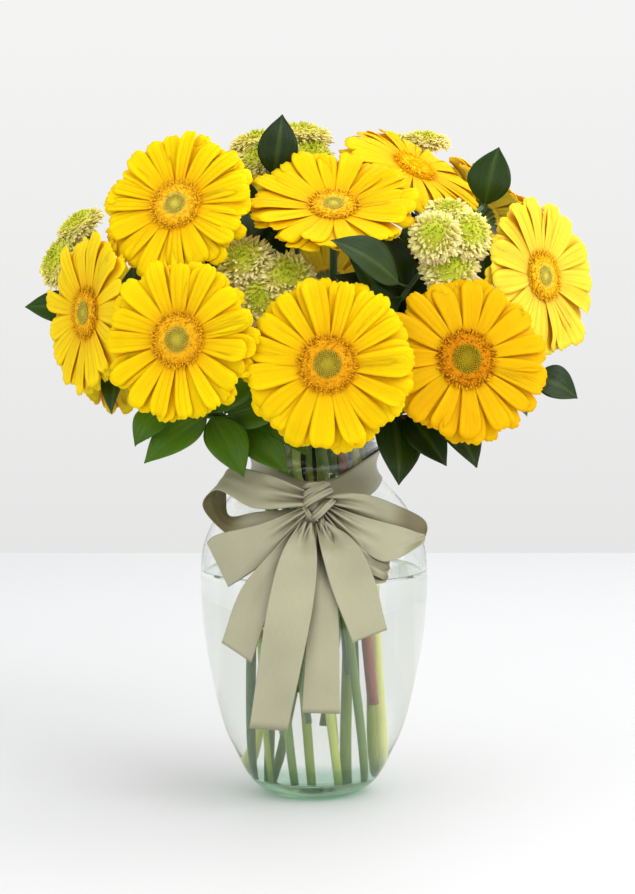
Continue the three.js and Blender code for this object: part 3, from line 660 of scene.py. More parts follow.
def make_vase():
    """The wall from under the foot, over a rounded lip, and down to the floor inside"""
    inside = inside_outline()
    lip_middle = (OUTSIDE[-1].x + inside[-1].x) / 2
    lip_radius = (OUTSIDE[-1].x - inside[-1].x) / 2
    outline = UNDER_FOOT + [(p.x, p.z) for p in OUTSIDE if p.z < LIP_MIDDLE]
    for step in range(1, LIP_STEPS):
        turn = math.pi * step / LIP_STEPS
        outline.append((lip_middle + lip_radius * math.cos(turn), LIP_MIDDLE + lip_radius * math.sin(turn)))
    outline += [(p.x, p.z) for p in inside[:0:-1] if p.z < LIP_MIDDLE] + [(1, inside[0].z)]
    green = [1.0 if z < FOOT_EDGE else FLOOR_GREEN * (1 - smooth(z, *DEEP_GLASS)) for _, z in outline]
    shell = Shell("deep")
    lathe(shell, outline, lambda i, j: {"deep": green[i]})
    shell.make("vase_glass_body", GLASS, "vase")


def make_water():
    """The water reaches a hair into the glass, and climbs a little where it meets it"""
    wet = [p for p in inside_outline() if p.z < WATER_HEIGHT - 1.5]
    outline = [(max(p.x + WATER_INTO_GLASS, 1), p.z - WATER_INTO_GLASS) for p in wet]
    edge = outline[-1][0]
    wall_rows = len(outline)
    outline += [(max(edge + back, 1), WATER_HEIGHT + up) for back, up in WATER_CLIMB]
    shell = Shell("calm")
    lathe(shell, outline, lambda i, j: {"calm": CALM_WATER if i > wall_rows else 0.0})
    shell.make("water_body", WATER, "water")


# Stems
def stem_way(ring, neck_degrees, foot_height, places, steps):
    """Places along a stem: straight from its foot to the neck, then curved to its head"""
    neck_radius, foot_radius = STEM_RINGS[ring]
    angle = math.radians(neck_degrees)
    neck = spot(neck_radius, angle, NECK_HEIGHT)
    floor = spot(foot_radius, angle + STEM_TWIST, FLOOR_HEIGHT)
    along = (neck - floor).normalized()
    foot = floor + along * ((foot_height - FLOOR_HEIGHT) / along.z)
    lower = [foot.lerp(neck, i / STRAIGHT_STEPS) for i in range(STRAIGHT_STEPS)]
    return lower + even_curve([neck, neck + along * LIP_REACH, *places], steps)


def stem_marks(count, tint):
    return lambda i, j: {"along": i / count, "around": math.cos(math.tau * j / STEM_SIDES), "tint": tint}


# Gerberas: where each head is, which way it faces, its diameter and droop, the ring and place in the
# neck that its stem crosses, its foot, how pale the stem is (0 to 1), how pale (or below 0 how orange)
# the head is, and how far its disc has opened
GERBERAS = [
    ("upper_left", (-89, -60, 399), (-0.3, -0.88, 0.36), 101, 0, "inner", 222, ON_FLOOR, 0.6, 0.0, 0.1),
    ("far_left", (-149, -43, 329), (-0.83, -0.55, 0.05), 106, 0, "outer", 206, ON_FLOOR, 0.35, 0.05, 0.3),
    ("lower_left", (-85, -107, 313), (-0.34, -0.93, 0.1), 102, 0, "outer", 250, ON_FLOOR, 0.8, -0.05, 0.4),
    ("front", (9, -122, 298), (-0.1, -0.97, 0.15), 108, 0, "outer", 283, ON_FLOOR, 0.3, -0.3, 0.7),
    ("upper_middle", (13, -50, 398), (0, -0.6, 0.8), 109, -7, "inner", 300, 88, 0.2, -0.35, 0.05),
    ("upper_right", (68, 17, 427), (0.43, -0.42, 0.8), 105, 6, "inner", 10, ON_FLOOR, 0.5, -0.4, -0.5),
    ("lower_right", (97, -90, 300), (0.2, -0.95, 0.2), 106, 0, "outer", 333, ON_FLOOR, 1.0, -0.95, 1.0),
    ("far_right", (151, -32, 353), (0.73, -0.67, 0.14), 106, 0, "outer", 1, ON_FLOOR, 0.7, 0.42, 0.0),
    ("back_right", (118, 95, 400), (0.5, 0.5, 0.7), 105, 0, "inner", 50, 60, 0.35, 0.3, 0.4),
    ("back_left", (-85, 75, 400), (-0.5, 0.55, 0.66), 104, 0, "inner", 142, ON_FLOOR, 0.15, 0.0, 0.3),
    ("back_middle", (10, 128, 345), (0, 0.95, 0.3), 108, 0, "outer", 98, ON_FLOOR, 0.9, 0.0, 0.6),
    ("back_far_left", (-140, 75, 310), (-0.8, 0.6, 0.1), 106, 0, "outer", 152, ON_FLOOR, 0.05, -0.1, 0.5),
]

PETAL_WIDTHS = [(0, 0.46), (0.2, 0.62), (0.45, 0.82), (0.7, 0.97), (0.86, 1.0), (1, 0.97)]
# Petals stand by turns in three layers: share of the way out, height
PETAL_LAYERS = [
    [(0, 1.0), (0.35, 2.7), (0.8, 3.4), (1, 2.4)],
    [(0, 0.4), (0.35, 1.3), (0.8, 1.4), (1, 0.4)],
    [(0, -0.2), (0.35, -0.2), (0.8, -1.0), (1, -2.4)],
]
# Rings of the hub and the disc's dome (radius, height), of a bud (shares of its width and height), and
# of the cup (radius, distance behind the head)
HUB = [(0.5, -1.0), (12, -1.2), (17, -0.9), (18, 0), (17, 0.6), (0.5, 0.8)]
DISC_DOME = [(19, 0.9), (18.6, 1.8), (15.5, 3.2), (11, 3.8), (8, 3.6), (0.4, 4.0)]
BUD = [(1.0, 0), (0.95, 0.55), (0.5, 0.9)]
CUP = [(3.4, 21), (5.4, 19), (8.4, 15), (10.8, 11), (12.9, 6), (13.6, 1.3)]
# Rows of bracts round the cup: how many, their roots' radius and height, and their length
BRACTS = [(16, 8.4, -15.5, 11), (20, 11.4, -10, 10)]


def head_pose(place, facing):
    turn = UP.rotation_difference(Vector(facing).normalized())
    return Matrix.Translation(Vector(place)) @ turn.to_matrix().to_4x4()


def ray_petal(shell, angle, layer, scale, droop, shade, draw):
    """One ray petal: two long grooves, a round tip with small lobes, and a curl of its own"""
    reach = HEAD_DIAMETER / 2 * scale * draw.uniform(0.94, 1.05)
    half_width = PETAL_HALF_WIDTH * scale * draw.uniform(0.78, 1.22)
    cupping = draw.uniform(-1.2, 0.8) if draw.random() > 0.14 else draw.uniform(1.8, 4.0)
    curl = draw.uniform(-3.6, 1.6) - 0.7 * layer
    twist = draw.uniform(-0.2, 0.2)
    lean = draw.uniform(-3.0, 3.0)
    lobes = [(side * draw.uniform(0.1, 0.6), draw.uniform(0.0, 0.06)) for side in (-1, 1)]
    groove_depth = draw.uniform(0.2, 0.6)
    groove_at = draw.uniform(0.28, 0.42)
    tint = draw.random()
    outward, sideways = compass(angle)

    def corner(t, u):
        short = 0.13 * abs(u) ** 4 + sum(depth * bell(u, middle, 0.16) for middle, depth in lobes)
        out = PETAL_ROOT + (reach - PETAL_ROOT) * t * (1 - short * t ** 5)
        # The groove profile shapes the petal, and with the rim it marks where the material paints shade in
        # the grooves and along the edges where petals overlap
        groove_and_shade = bell(u, -groove_at, 0.1) + bell(u, groove_at, 0.1) + 0.35 * bell(u, 0, 0.08)
        groove_and_shade *= smooth(t, 0.0, 0.2) * (1 - 0.8 * smooth(t, 0.75, 1.0))
        rim = smooth(abs(u), 0.86, 1.0) * (1 - smooth(t, 0.6, 0.95))
        side = u * half_width * profile(PETAL_WIDTHS, t) + lean * t * t
        high = profile(PETAL_LAYERS[layer], t) + cupping * u * u * t - groove_depth * groove_and_shade
        high += twist * side * t + curl * smooth(t, 0.45, 1.0) ** 2 - droop * (2 * out / HEAD_DIAMETER) ** 2
        return outward * out + sideways * side + UP * high, {
            "along": (out - PETAL_ROOT) / PETAL_LENGTH, "across": u, "tint": tint, "groove_and_shade": max(groove_and_shade, rim),
            "shade": shade,
        }

    shell.leaflet(PETAL_ROWS, PETAL_COLUMNS, PETAL_THICKNESS, corner)


def make_petals(name, pose, scale, droop, shade, draw):
    shell = Shell("along", "across", "tint", "groove_and_shade", "side", "shade", pose=pose)
    step = math.tau / PETALS
    for i in range(PETALS):
        ray_petal(shell, (i + draw.uniform(-0.3, 0.3)) * step, i % 3, scale, droop, shade, draw)
    hub = [circle(radius, height, 32) for radius, height in HUB]
    shell.body(hub, lambda i, j: {"along": 0.1, "tint": 0.5, "shade": shade})
    shell.make(f"gerbera_{name}_rays", PETAL, f"gerbera_{name}_petals")


BRACT_SHAPE = [(0, 0.6), (0.4, 1.0), (0.75, 0.85), (1, 0.2)]
FLORET_SHAPE = [(0, 0.6), (0.55, 1.0), (1, 0.35)]


def spike(shell, root, direction, sideways, length, width, bend, marks, shape=FLORET_SHAPE):
    """A small pointed floret from its root, hollow in front and bent over towards its tip"""
    direction = direction.normalized()
    across = (sideways - direction * sideways.dot(direction)).normalized()
    normal = direction.cross(across)
    rows = []
    for t, wide in shape:
        middle = root + direction * (length * t) + normal * (bend * t * t)
        half = across * (width * wide / 2)
        hollow = normal * (width * 0.28 * wide)
        rows.append([middle - half + hollow, middle, middle + half + hollow])
    last = len(shape) - 1
    shell.blade(rows, width * 0.22, lambda i, j: {**marks, "along": i / last})


def eye_bud(shell, k, eye, opened, draw):
    """One closed bud of the eye, taller the farther out it stands"""
    share = math.sqrt((k + 0.5) / EYE_BUDS)
    angle = k * GOLDEN_ANGLE
    root = spot(eye * share, angle, BUD_FOOT)
    wide = between(0.42, 0.75, share) * eye / EYE_RADIUS
    tall = between(0.5, 1.1, share) * draw.uniform(0.9, 1.1)
    tint = draw.uniform(0.35, 1.0) * between(0.8, 1.0, share)
    rings = [[root + p for p in circle(wide * out, tall * up, 6, angle)] for out, up in BUD]
    shell.body(rings, lambda i, j: {"ring": 0.0, "tint": tint, "shade": opened, "along": 0.6 + 0.2 * i})


def floret_ring(shell, ring, radius, outness, opened, draw):
    """One ring of open florets, longer and leaning out more the farther out it is"""
    length, tilt = between(2.0, 3.6, outness), between(0.0, 1.05, outness)
    count = round(math.tau * radius / FLORET_STEP)
    for k in range(count):
        out, sideways = compass(math.tau * (k + draw.uniform(-0.35, 0.35)) / count + ring)
        lean = tilt + draw.uniform(-0.4, 0.4)
        direction = out * math.sin(lean) + UP * math.cos(lean) + sideways * draw.uniform(-0.4, 0.4)
        root = out * radius * draw.uniform(0.96, 1.03) + UP * FLORET_FOOT
        brown = draw.random() < between(0.12, 0.5, opened) * (1 if outness < 0.5 else 0.45)
        tint = draw.uniform(0.0, 0.25) if brown else draw.uniform(0.4, 1.0)
        spike(shell, root, direction, sideways, length * draw.uniform(0.7, 1.1), draw.uniform(0.85, 1.2),
              draw.uniform(-0.9, 0.3), {"ring": 1.0, "tint": tint, "shade": opened})


def make_disc(name, pose, opened, draw):
    """An eye of closed buds in a ring of open florets, over a low dome. A younger disc is yellower."""
    shell = Shell("along", "ring", "tint", "shade", pose=pose)
    spread = between(0.86, 1.0, opened)
    dome = [circle(radius * spread, height, 40) for radius, height in DISC_DOME]
    marks = {"along": 0.7, "tint": between(0.75, 0.4, opened), "shade": opened}
    shell.body(dome, lambda i, j: {**marks, "ring": 0.0 if i > 3 else 1.0})
    eye = EYE_RADIUS * between(0.68, 1.0, opened)
    for k in range(EYE_BUDS):
        eye_bud(shell, k, eye, opened, draw)
    rings = round((LAST_RING * spread - eye - EYE_GAP) / RING_STEP)
    for ring in range(rings + 1):
        radius = between(eye + EYE_GAP, LAST_RING * spread, ring / rings)
        outness = (radius / spread - INNER_RING) / (LAST_RING - INNER_RING)
        floret_ring(shell, ring, radius, outness, opened, draw)
    shell.make(f"gerbera_{name}_florets", DISC, f"gerbera_{name}_disc")


def make_gerbera_stem(name, place, facing, base, tint, draw):
    """The stem with the cup under the head, set with two rows of pointed bracts"""
    shell = Shell("along", "around", "tint")
    facing = Vector(facing).normalized()
    way = stem_way(*base, [place - facing * distance for distance in BEHIND_HEAD], CURVED_STEPS["gerbera"])
    stations = [(p, GERBERA_STEM) for p in way]
    stations += [(place - facing * distance, radius) for radius, distance in CUP]
    shell.tube(stations, STEM_SIDES, stem_marks(len(stations), tint))
    shell.pose = head_pose(place, facing)
    for count, radius, height, length in BRACTS:
        for k in range(count):
            out, sideways = compass(math.tau * (k + draw.uniform(-0.15, 0.15)) / count)
            spike(shell, out * radius + UP * height, out * 0.42 + UP * 0.9, sideways,
                  length * draw.uniform(0.9, 1.05), 3.0, 0.6, {"around": 0.5, "tint": draw.random()},
                  BRACT_SHAPE)
    shell.make(f"gerbera_{name}_stalk", GREEN_STEM, f"gerbera_{name}_stem")


def make_gerberas():
    for seed, (name, place, facing, diameter, droop, *base, tint, shade, opened) in enumerate(GERBERAS):
        draw = random.Random(seed + 11)
        place = Vector(place)
        pose = head_pose(place, facing)
        make_petals(name, pose, diameter / HEAD_DIAMETER, droop, shade, draw)
        make_disc(name, pose, opened, draw)
        make_gerbera_stem(name, place, facing, base, tint, draw)


# Button chrysanthemums: each spray's ring and place in the neck, foot, how pale its stem is, how far it
# has opened (below 1 it is greener), its fork, and its heads as place, facing, diameter
BUTTON_SPRAYS = [
    ("left", "outer", 179, ON_FLOOR, 0.6, 0.68, (-138, 30, 350), [
        ((-174, 20, 364), (-0.75, -0.5, 0.4), 38),
        ((-161, 26, 388), (-0.5, -0.35, 0.8), 35),
        ((-166, 44, 374), (-0.7, 0.3, 0.6), 34),
    ]),
    ("top", "core", 118, 75, 0.4, 0.7, (-14, 26, 405), [
        ((-39, 28, 444), (-0.2, -0.1, 0.95), 38),
        ((-8, 30, 449), (0.1, -0.1, 1), 40),
        ((-36, 8, 432), (-0.25, -0.6, 0.75), 34),
        ((-3, 14, 435), (0.2, -0.7, 0.7), 34),
    ]),
    ("centre_left", "inner", 262, 42, 0.75, 0.95, (-30, -34, 330), [
        ((-45, -62, 362), (-0.2, -0.8, 0.55), 38),
        ((-17, -68, 352), (0.1, -0.85, 0.5), 36),
        ((-36, -72, 338), (-0.1, -0.95, 0.2), 34),
    ]),
    ("centre_right", "inner", 336, 67, 0.1, 0.95, (88, -28, 350), [
        ((78, -73, 378), (-0.2, -0.97, 0.1), 33),
        ((99, -64, 380), (0.3, -0.9, 0.3), 34),
        ((88, -66, 358), (0.05, -0.97, 0.2), 36),
        ((87, -57, 394), (0, -0.5, 0.85), 29),
    ]),
    ("top_right", "core", 298, 96, 0.9, 0.9, (74, 92, 398), [
        ((57, 86, 446), (-0.1, -0.1, 1), 34),
        ((79, 82, 448), (0.1, -0.2, 1), 34),
    ]),
    ("back_right", "outer", 45, 50, 0.35, 0.85, (100, 90, 315), [
        ((118, 108, 332), (0.6, 0.7, 0.35), 38),
        ((92, 124, 330), (0.25, 0.9, 0.35), 36),
        ((112, 118, 306), (0.55, 0.8, 0.05), 36),
    ]),
]
# Rings of a head's core: radius and height as shares of the head's radius, and how pale each is
BUTTON_CORE = [
    (0.05, -0.34, 0.9), (0.3, -0.33, 0.9), (0.7, -0.16, 0.85), (0.82, 0.04, 0.7), (0.72, 0.2, 0.5),
    (0.46, 0.33, 0.3), (0.03, 0.37, 0.2),
]


def button_head(shell, place, facing, diameter, openness, draw):
    """A dome of tiny green tubes inside a ragged rim of short cream petals. Its green eye is turned up."""
    shell.pose = head_pose(place, facing)
    turned = shell.pose.to_3x3()
    radius = diameter / 2
    eye = Vector(facing).normalized() + Vector((draw.uniform(-0.2, 0.35), 0, draw.uniform(0.15, 0.5)))
    core = [circle(radius * out, radius * high, 20) for out, high, _ in BUTTON_CORE]
    shell.body(core, lambda i, j: {"along": 0.5, "ring": BUTTON_CORE[i][2], "tint": 0.4})
    turn = draw.uniform(0, math.tau)
    for k in range(BUTTON_FLORETS):
        ring = math.sqrt((k + 0.5) / BUTTON_FLORETS)
        polar = 1.85 * ring ** 1.1 + draw.uniform(-0.12, 0.12)
        flat, sideways = compass(k * GOLDEN_ANGLE + turn)
        spread = radius * 0.72 * min(math.sin(polar) * 1.05, 1)
        root = flat * spread + UP * (radius * 0.38 * math.cos(polar))
        direction = flat * math.sin(polar) + sideways * draw.uniform(-0.7, 0.7)
        direction += UP * (math.cos(polar) * 0.95 + draw.uniform(-0.3, 0.3))
        away = min((turned @ direction).angle(eye) / 1.7, 1) * openness
        rim = smooth(away, 0.25, 0.8)
        length = radius * between(0.17, 0.38, rim) * draw.uniform(0.6, 1.2)
        width = between(1.1, 2.5, rim) * draw.uniform(0.75, 1.25)
        bend = between(0.2, 2.2, ring) * draw.uniform(-1.0, 1.0)
        marks = {"ring": min(max(away + draw.uniform(-0.12, 0.12), 0), 1), "tint": draw.random()}
        spike(shell, root, direction, sideways, length, width, bend, marks)


def make_button_sprays():
    for seed, (name, *base, tint, openness, fork, heads) in enumerate(BUTTON_SPRAYS):
        draw = random.Random(seed + 41)
        fork = Vector(fork)
        node = f"chrysanthemum_{name}"
        way = stem_way(*base, [fork], CURVED_STEPS["button"])
        stalk = Shell("along", "around", "tint")
        stalk.tube([(p, BUTTON_STEM) for p in way], STEM_SIDES, stem_marks(len(way), tint))
        florets = Shell("along", "ring", "tint")
        for place, facing, diameter in heads:
            button_head(florets, place, facing, diameter, openness, draw)
            facing = Vector(facing).normalized()
            under = Vector(place) - facing * (0.17 * diameter)
            branch = even_curve([fork, under - facing * 7, under], 10)
            stations = [(p, 1.35) for p in branch[:-2]] + [(branch[-2], 1.8), (branch[-1], 3.4)]
            stalk.tube(stations, 8, lambda i, j: {"along": 0.9, "around": math.cos(j), "tint": tint})
        florets.make(f"{node}_florets", FLORET, f"{node}_heads")
        stalk.make(f"{node}_stalk", GREEN_STEM, f"{node}_stem")


# Ruscus: each stem's ring and place in the neck, foot, radius, the shade of its leaves, its way, and its
# leaves as base, tip, facing, width. The last leaves of the top, right and back spray hang down into
# the neck or show dark between the heads.
RUSCUS_SPRAYS = [
    ("left", "outer", 192, 82, RUSCUS_STEM, 0.35, [(-70, -14, 282), (-118, -10, 308), (-150, 10, 324)], [
        ((-158, 16, 327), (-197, 10, 334), (-0.2, -0.8, 0.5), 25),
        ((-120, -34, 305), (-134, -66, 266), (-0.6, -0.6, 0.4), 26),
        ((-104, -24, 306), (-152, 10, 290), (-0.3, 0.2, 0.9), 28),
        ((-116, -2, 314), (-124, 8, 362), (-0.2, -0.9, 0.2), 28),
    ]),
    ("lower_left", "outer", 228, 57, RUSCUS_STEM, 1.0, [(-44, -42, 258), (-72, -62, 262), (-96, -70, 262)], [
        ((-95, -72, 266), (-116, -84, 246), (-0.4, -0.8, 0.5), 24),
        ((-70, -68, 263), (-109, -88, 235), (-0.2, -0.9, 0.4), 26),
        ((-66, -64, 262), (-45, -86, 226), (0.1, -0.9, 0.3), 28),
        ((-52, -54, 258), (-17, -78, 228), (0.2, -0.9, 0.3), 28),
        ((-40, -44, 258), (-4, -72, 240), (0.2, -0.6, 0.7), 24),
        ((-58, -56, 264), (-40, -60, 306), (0, -0.9, 0.2), 30),
        ((-84, -62, 266), (-112, -22, 248), (-0.2, 0.1, 1), 26),
    ]),
    ("lower_right", "outer", 308, 67, RUSCUS_WOODY, 0.2,
     [(46, -42, 258), (80, -50, 262), (120, -40, 276), (146, -34, 284)], [
         ((52, -50, 262), (56, -78, 220), (0.3, -0.9, 0.3), 32),
         ((84, -54, 264), (106, -80, 232), (0.3, -0.8, 0.4), 28),
         ((62, -50, 262), (86, -72, 232), (0.1, -0.9, 0.3), 26),
         ((70, -44, 264), (56, -50, 306), (0, -0.9, 0.2), 28),
         ((146, -34, 286), (176, -36, 274), (0.1, -0.8, 0.6), 27),
         ((112, -42, 274), (146, 2, 262), (0.4, 0.3, 0.9), 27),
     ]),
    ("top", "inner", 182, 48, RUSCUS_STEM, 0.25, [(-42, -4, 330), (-40, -8, 400), (-28, -12, 418)], [
        ((-27, -8, 421), (-21, -12, 461), (0.1, -0.9, 0.3), 27),
        ((-43, -6, 374), (-47, -22, 420), (0, -0.9, 0.3), 28),
        ((-42, -2, 360), (-62, 40, 384), (-0.5, 0.3, 0.8), 27),
        ((-38, 2, 392), (-24, 56, 404), (0, -0.3, 0.9), 28),
        ((-42, 4, 336), (-22, 60, 340), (0, -0.2, 0.9), 28),
        ((-44, 4, 356), (-16, 20, 402), (0.1, -0.95, 0.2), 32),
    ]),
    ("right", "inner", 352, 92, RUSCUS_STEM, 0.2,
     [(40, -16, 300), (62, -42, 345), (96, -14, 382), (114, 2, 400)], [
         ((116, 2, 402), (124, -2, 440), (-0.2, -0.9, 0.2), 30),
         ((54, -88, 349), (13, -111, 377), (-0.1, -0.75, 0.65), 30),
         ((72, -14, 358), (66, -16, 396), (0, -0.9, 0.3), 26),
         ((60, -44, 346), (42, -56, 386), (-0.2, -0.9, 0.2), 28),
         ((50, -30, 324), (30, -44, 358), (-0.2, -0.9, 0.2), 28),
         ((100, -14, 381), (117, -36, 350), (0.2, -0.9, 0.2), 26),
         ((106, 0, 390), (140, 26, 372), (0.5, 0.2, 0.8), 27),
         ((84, -12, 370), (58, 42, 384), (0, -0.2, 0.9), 28),
         ((58, -28, 332), (86, 28, 342), (0.1, -0.1, 0.9), 28),
         ((60, -28, 334), (76, -18, 380), (0, -0.95, 0.2), 32),
     ]),
    ("back", "outer", 72, ON_FLOOR, RUSCUS_STEM, 0.4,
     [(8, 52, 262), (-10, 84, 272), (-40, 100, 276), (-70, 104, 282)], [
         ((0, 74, 272), (52, 104, 290), (0.2, 0.4, 0.9), 28),
         ((-30, 96, 278), (-38, 118, 326), (0, 0.9, -0.3), 28),
         ((-72, 104, 283), (-104, 118, 262), (-0.2, 0.9, 0.4), 28),
         ((-46, 104, 276), (-54, 126, 236), (0, 0.9, 0.4), 28),
         ((-18, 92, 274), (-6, 120, 238), (0.1, 0.9, 0.4), 28),
         ((2, 64, 266), (44, 96, 240), (0.3, 0.8, 0.5), 28),
         ((-3, 24, 264), (-1, 23, 206), (0, -1, 0.1), 28),
         ((-24, 4, 266), (-25, 5, 214), (0.3, -1, 0.1), 13),
     ]),
]
LEAF_WIDTHS = [
    (0, 0.08), (0.12, 0.55), (0.28, 0.9), (0.45, 1.0), (0.65, 0.84), (0.82, 0.5), (0.94, 0.17), (1, 0.01),
]
LEAF_STALK = [0.95, 0.9, 0.85, 0.8, 0.7, 0.5, 0.2]


def leaf(shell, root, base, tip, facing, width, tint, draw, net=LEAF_NET):
    """A pointed leaf, folded along its rib, sagging and a little waved, on a short stalk"""
    base, tip = Vector(base), Vector(tip)
    along = tip - base
    across = along.cross(Vector(facing)).normalized()
    up = across.cross(along).normalized()
    phase = draw.uniform(0, math.tau)
    wave = draw.uniform(0.3, 0.9)
    tint = min(max(tint + draw.uniform(-0.2, 0.2), 0), 1)

    def corner(t, u):
        half = profile(LEAF_WIDTHS, t) * width / 2
        lift = LEAF_SAG * math.sin(t * math.pi) + half * LEAF_FOLD * abs(u) ** 1.3
        lift += wave * u * u * math.sin(t * 5 + phase + u) - LEAF_TIP_SAG * t ** 3
        place = base + along * t + across * (half * u) + up * lift
        return place, {"along": t, "across": u, "tint": tint, "rib": bell(u * half, 0, 0.7)}

    shell.leaflet(*net, LEAF_THICKNESS, corner)
    stalk = even_curve([root, base - up * 0.2, base + along * 0.12 + up * 0.5], 6)
    shell.tube(list(zip(stalk, LEAF_STALK)), 8, lambda i, j: {"along": 0.0, "tint": tint, "rib": 1.0})


def has_room(point):
    """Whether a place inside the bunch is clear of the heads, and behind them"""
    x, y, z = (((p - m) / r) ** 2 for p, m, r in zip(point, DOME_MIDDLE, DOME_REACH))
    if x + y + z > 1 or point.z < LOWEST_LEAF:
        return False
    for _, place, facing, diameter, droop, *_ in GERBERAS:
        off = point - Vector(place)
        high = off.dot(Vector(facing).normalized())
        flat = (off.length_squared - high * high) ** 0.5
        if flat < diameter / 2 + 4 and high > -8 - droop or flat < 19 and high > -26:
            return False
    for *_, heads in BUTTON_SPRAYS:
        if any((point - Vector(place)).length < diameter / 2 + 2 for place, _, diameter in heads):
            return False
    return True


def inner_leaves(shell, places, tint, draw):
    """Leaves set along a stem between the heads, where they fit"""
    made = 0
    for _ in range(INNER_TRIES):
        root = places[draw.randrange(len(places))]
        way = Vector((draw.uniform(-1, 1), draw.uniform(-0.8, 0.9), draw.uniform(-0.3, 1)))
        way.normalize()
        base = root + way * 5
        tip = base + way * draw.uniform(42, 60)
        if made < INNER_MOST and all(has_room(base.lerp(tip, share)) for share in (0, 0.3, 0.6, 1)):
            facing = (draw.uniform(-0.5, 0.5), -0.8 if root.y < 40 else 0.8, draw.uniform(0.1, 0.8))
            leaf(shell, root, base, tip, facing, draw.uniform(24, 31), tint, draw, INNER_LEAF_NET)
            made += 1


def make_ruscus():
    for seed, (name, *base, thick, tint, way, leaves) in enumerate(RUSCUS_SPRAYS):
        draw = random.Random(seed + 71)
        node = f"ruscus_{name}"
        places = stem_way(*base, way, CURVED_STEPS["ruscus"])
        count = len(places)
        radii = [between(thick, RUSCUS_TIP, smooth(i, STRAIGHT_STEPS, count)) for i in range(count)]
        stem = Shell("along", "around", "tint")
        stem.tube(list(zip(places, radii)), STEM_SIDES, stem_marks(count, draw.uniform(0.1, 0.6)))
        stem.make(f"{node}_stalk", WOODY_STEM if thick > RUSCUS_STEM else GREEN_STEM, node)
        foliage = Shell("along", "across", "tint", "rib", "side")
        for start, tip, facing, width in leaves:
            root = min(places[STRAIGHT_STEPS:], key=lambda p: (p - Vector(start)).length)
            leaf(foliage, root, start, tip, facing, width, tint, draw)
        inner_leaves(foliage, places[STRAIGHT_STEPS + 4:], tint, draw)
        foliage.make(f"{node}_leaves", LEAF, node)


# Ribbon: each loop leaves the knot, turns at its end and comes back. The face that gets painted shade inside
# its turn (1 or -1) and from where to where, how much of its pleats lasts, and its front edge and back edge.
LOOPS = {
    "upper_left": (
        (1, 0.3, 0.6), 0.1,
        [(-5, -74, 204), (-39, -74, 203), (-64, -66, 214), (-73, -60, 204),
         (-64, -64, 191), (-45, -70, 180), (-14, -75, 191), (-4, -74, 200)],
        [(-4, -70, 213), (-33, -64, 225), (-57, -52, 226), (-58, -46, 208),
         (-56, -52, 196), (-38, -61, 199), (-9, -70, 203), (-3, -71, 205)],
    ),
    "lower_left": (
        (-1, 0.35, 0.6), 0.08,
        [(-5, -74, 204), (-34, -75, 193), (-66, -62, 183), (-70, -59, 178), (-36, -72, 190), (-5, -71, 205)],
        [(-4, -73, 199), (-26, -80, 173), (-52, -68, 153), (-56, -65, 150), (-28, -77, 171), (-4, -71, 201)],
    ),
    "upper_right": (
        (-1, 0.34, 0.55), 0.1,
        [(6, -72, 211), (30, -67, 212), (55, -57, 203), (74, -45, 191),
         (74, -52, 184), (57, -66, 190), (29, -71, 198), (7, -72, 206)],
        [(6, -70, 204), (32, -66, 192), (54, -60, 181), (72, -57, 179),
         (70, -66, 178), (46, -75, 168), (26, -76.4, 181), (6, -71, 202)],
    ),
    "lower_right": (
        (1, 0.35, 0.6), 0.5,
        [(6, -72, 203), (28, -75, 185), (42, -70, 172), (50, -66, 168), (34, -73, 180), (6, -70, 204)],
        [(4, -73, 199), (25, -82, 169), (36, -80, 155), (47, -76, 155), (26, -82, 168), (4, -71, 200)],
    ),
}
# Tails: the pair that each is in, how far it arches out under the knot, and its left and right edge
TAILS = {
    "a": ("left", 1.0, [(-8, -76.6, 195), (-26, -85, 177), (-46, -79, 152), (-61, -71, 114)],
          [(0, -75.6, 193), (-10, -86, 170), (-26, -86, 145), (-40, -82, 103)]),
    "b": ("left", 2.5, [(-8, -76.6, 195), (-20, -90, 177), (-28, -92, 150), (-42, -90, 61)],
          [(0, -75.6, 193), (2, -90, 172), (0, -92, 145), (-17, -91, 60)]),
    "c": ("right", 4.5, [(1.5, -76, 193), (1, -86, 170), (-4, -88, 131), (-8, -87, 71)],
          [(9, -76, 195), (15, -85, 172), (16, -87, 140), (17, -87, 70)]),
    "d": ("right", 4.0, [(1.5, -76, 193), (6, -90, 172), (14, -91, 146), (25, -88, 117)],
          [(9, -76, 195), (27, -87, 182), (39, -84, 158), (48, -80, 124)]),
}


def ribbon_marks(reach, columns, curl_shades):
    """Marks of a strip: how far along and across it, how near its edges, and where its inner face gets
    painted shade
    """
    return lambda i, j: {
        "along": reach[i], "across": j / columns * RIBBON_WIDTH,
        "edge": abs(2 * j / columns - 1), "curl": curl_shades[i],
    }


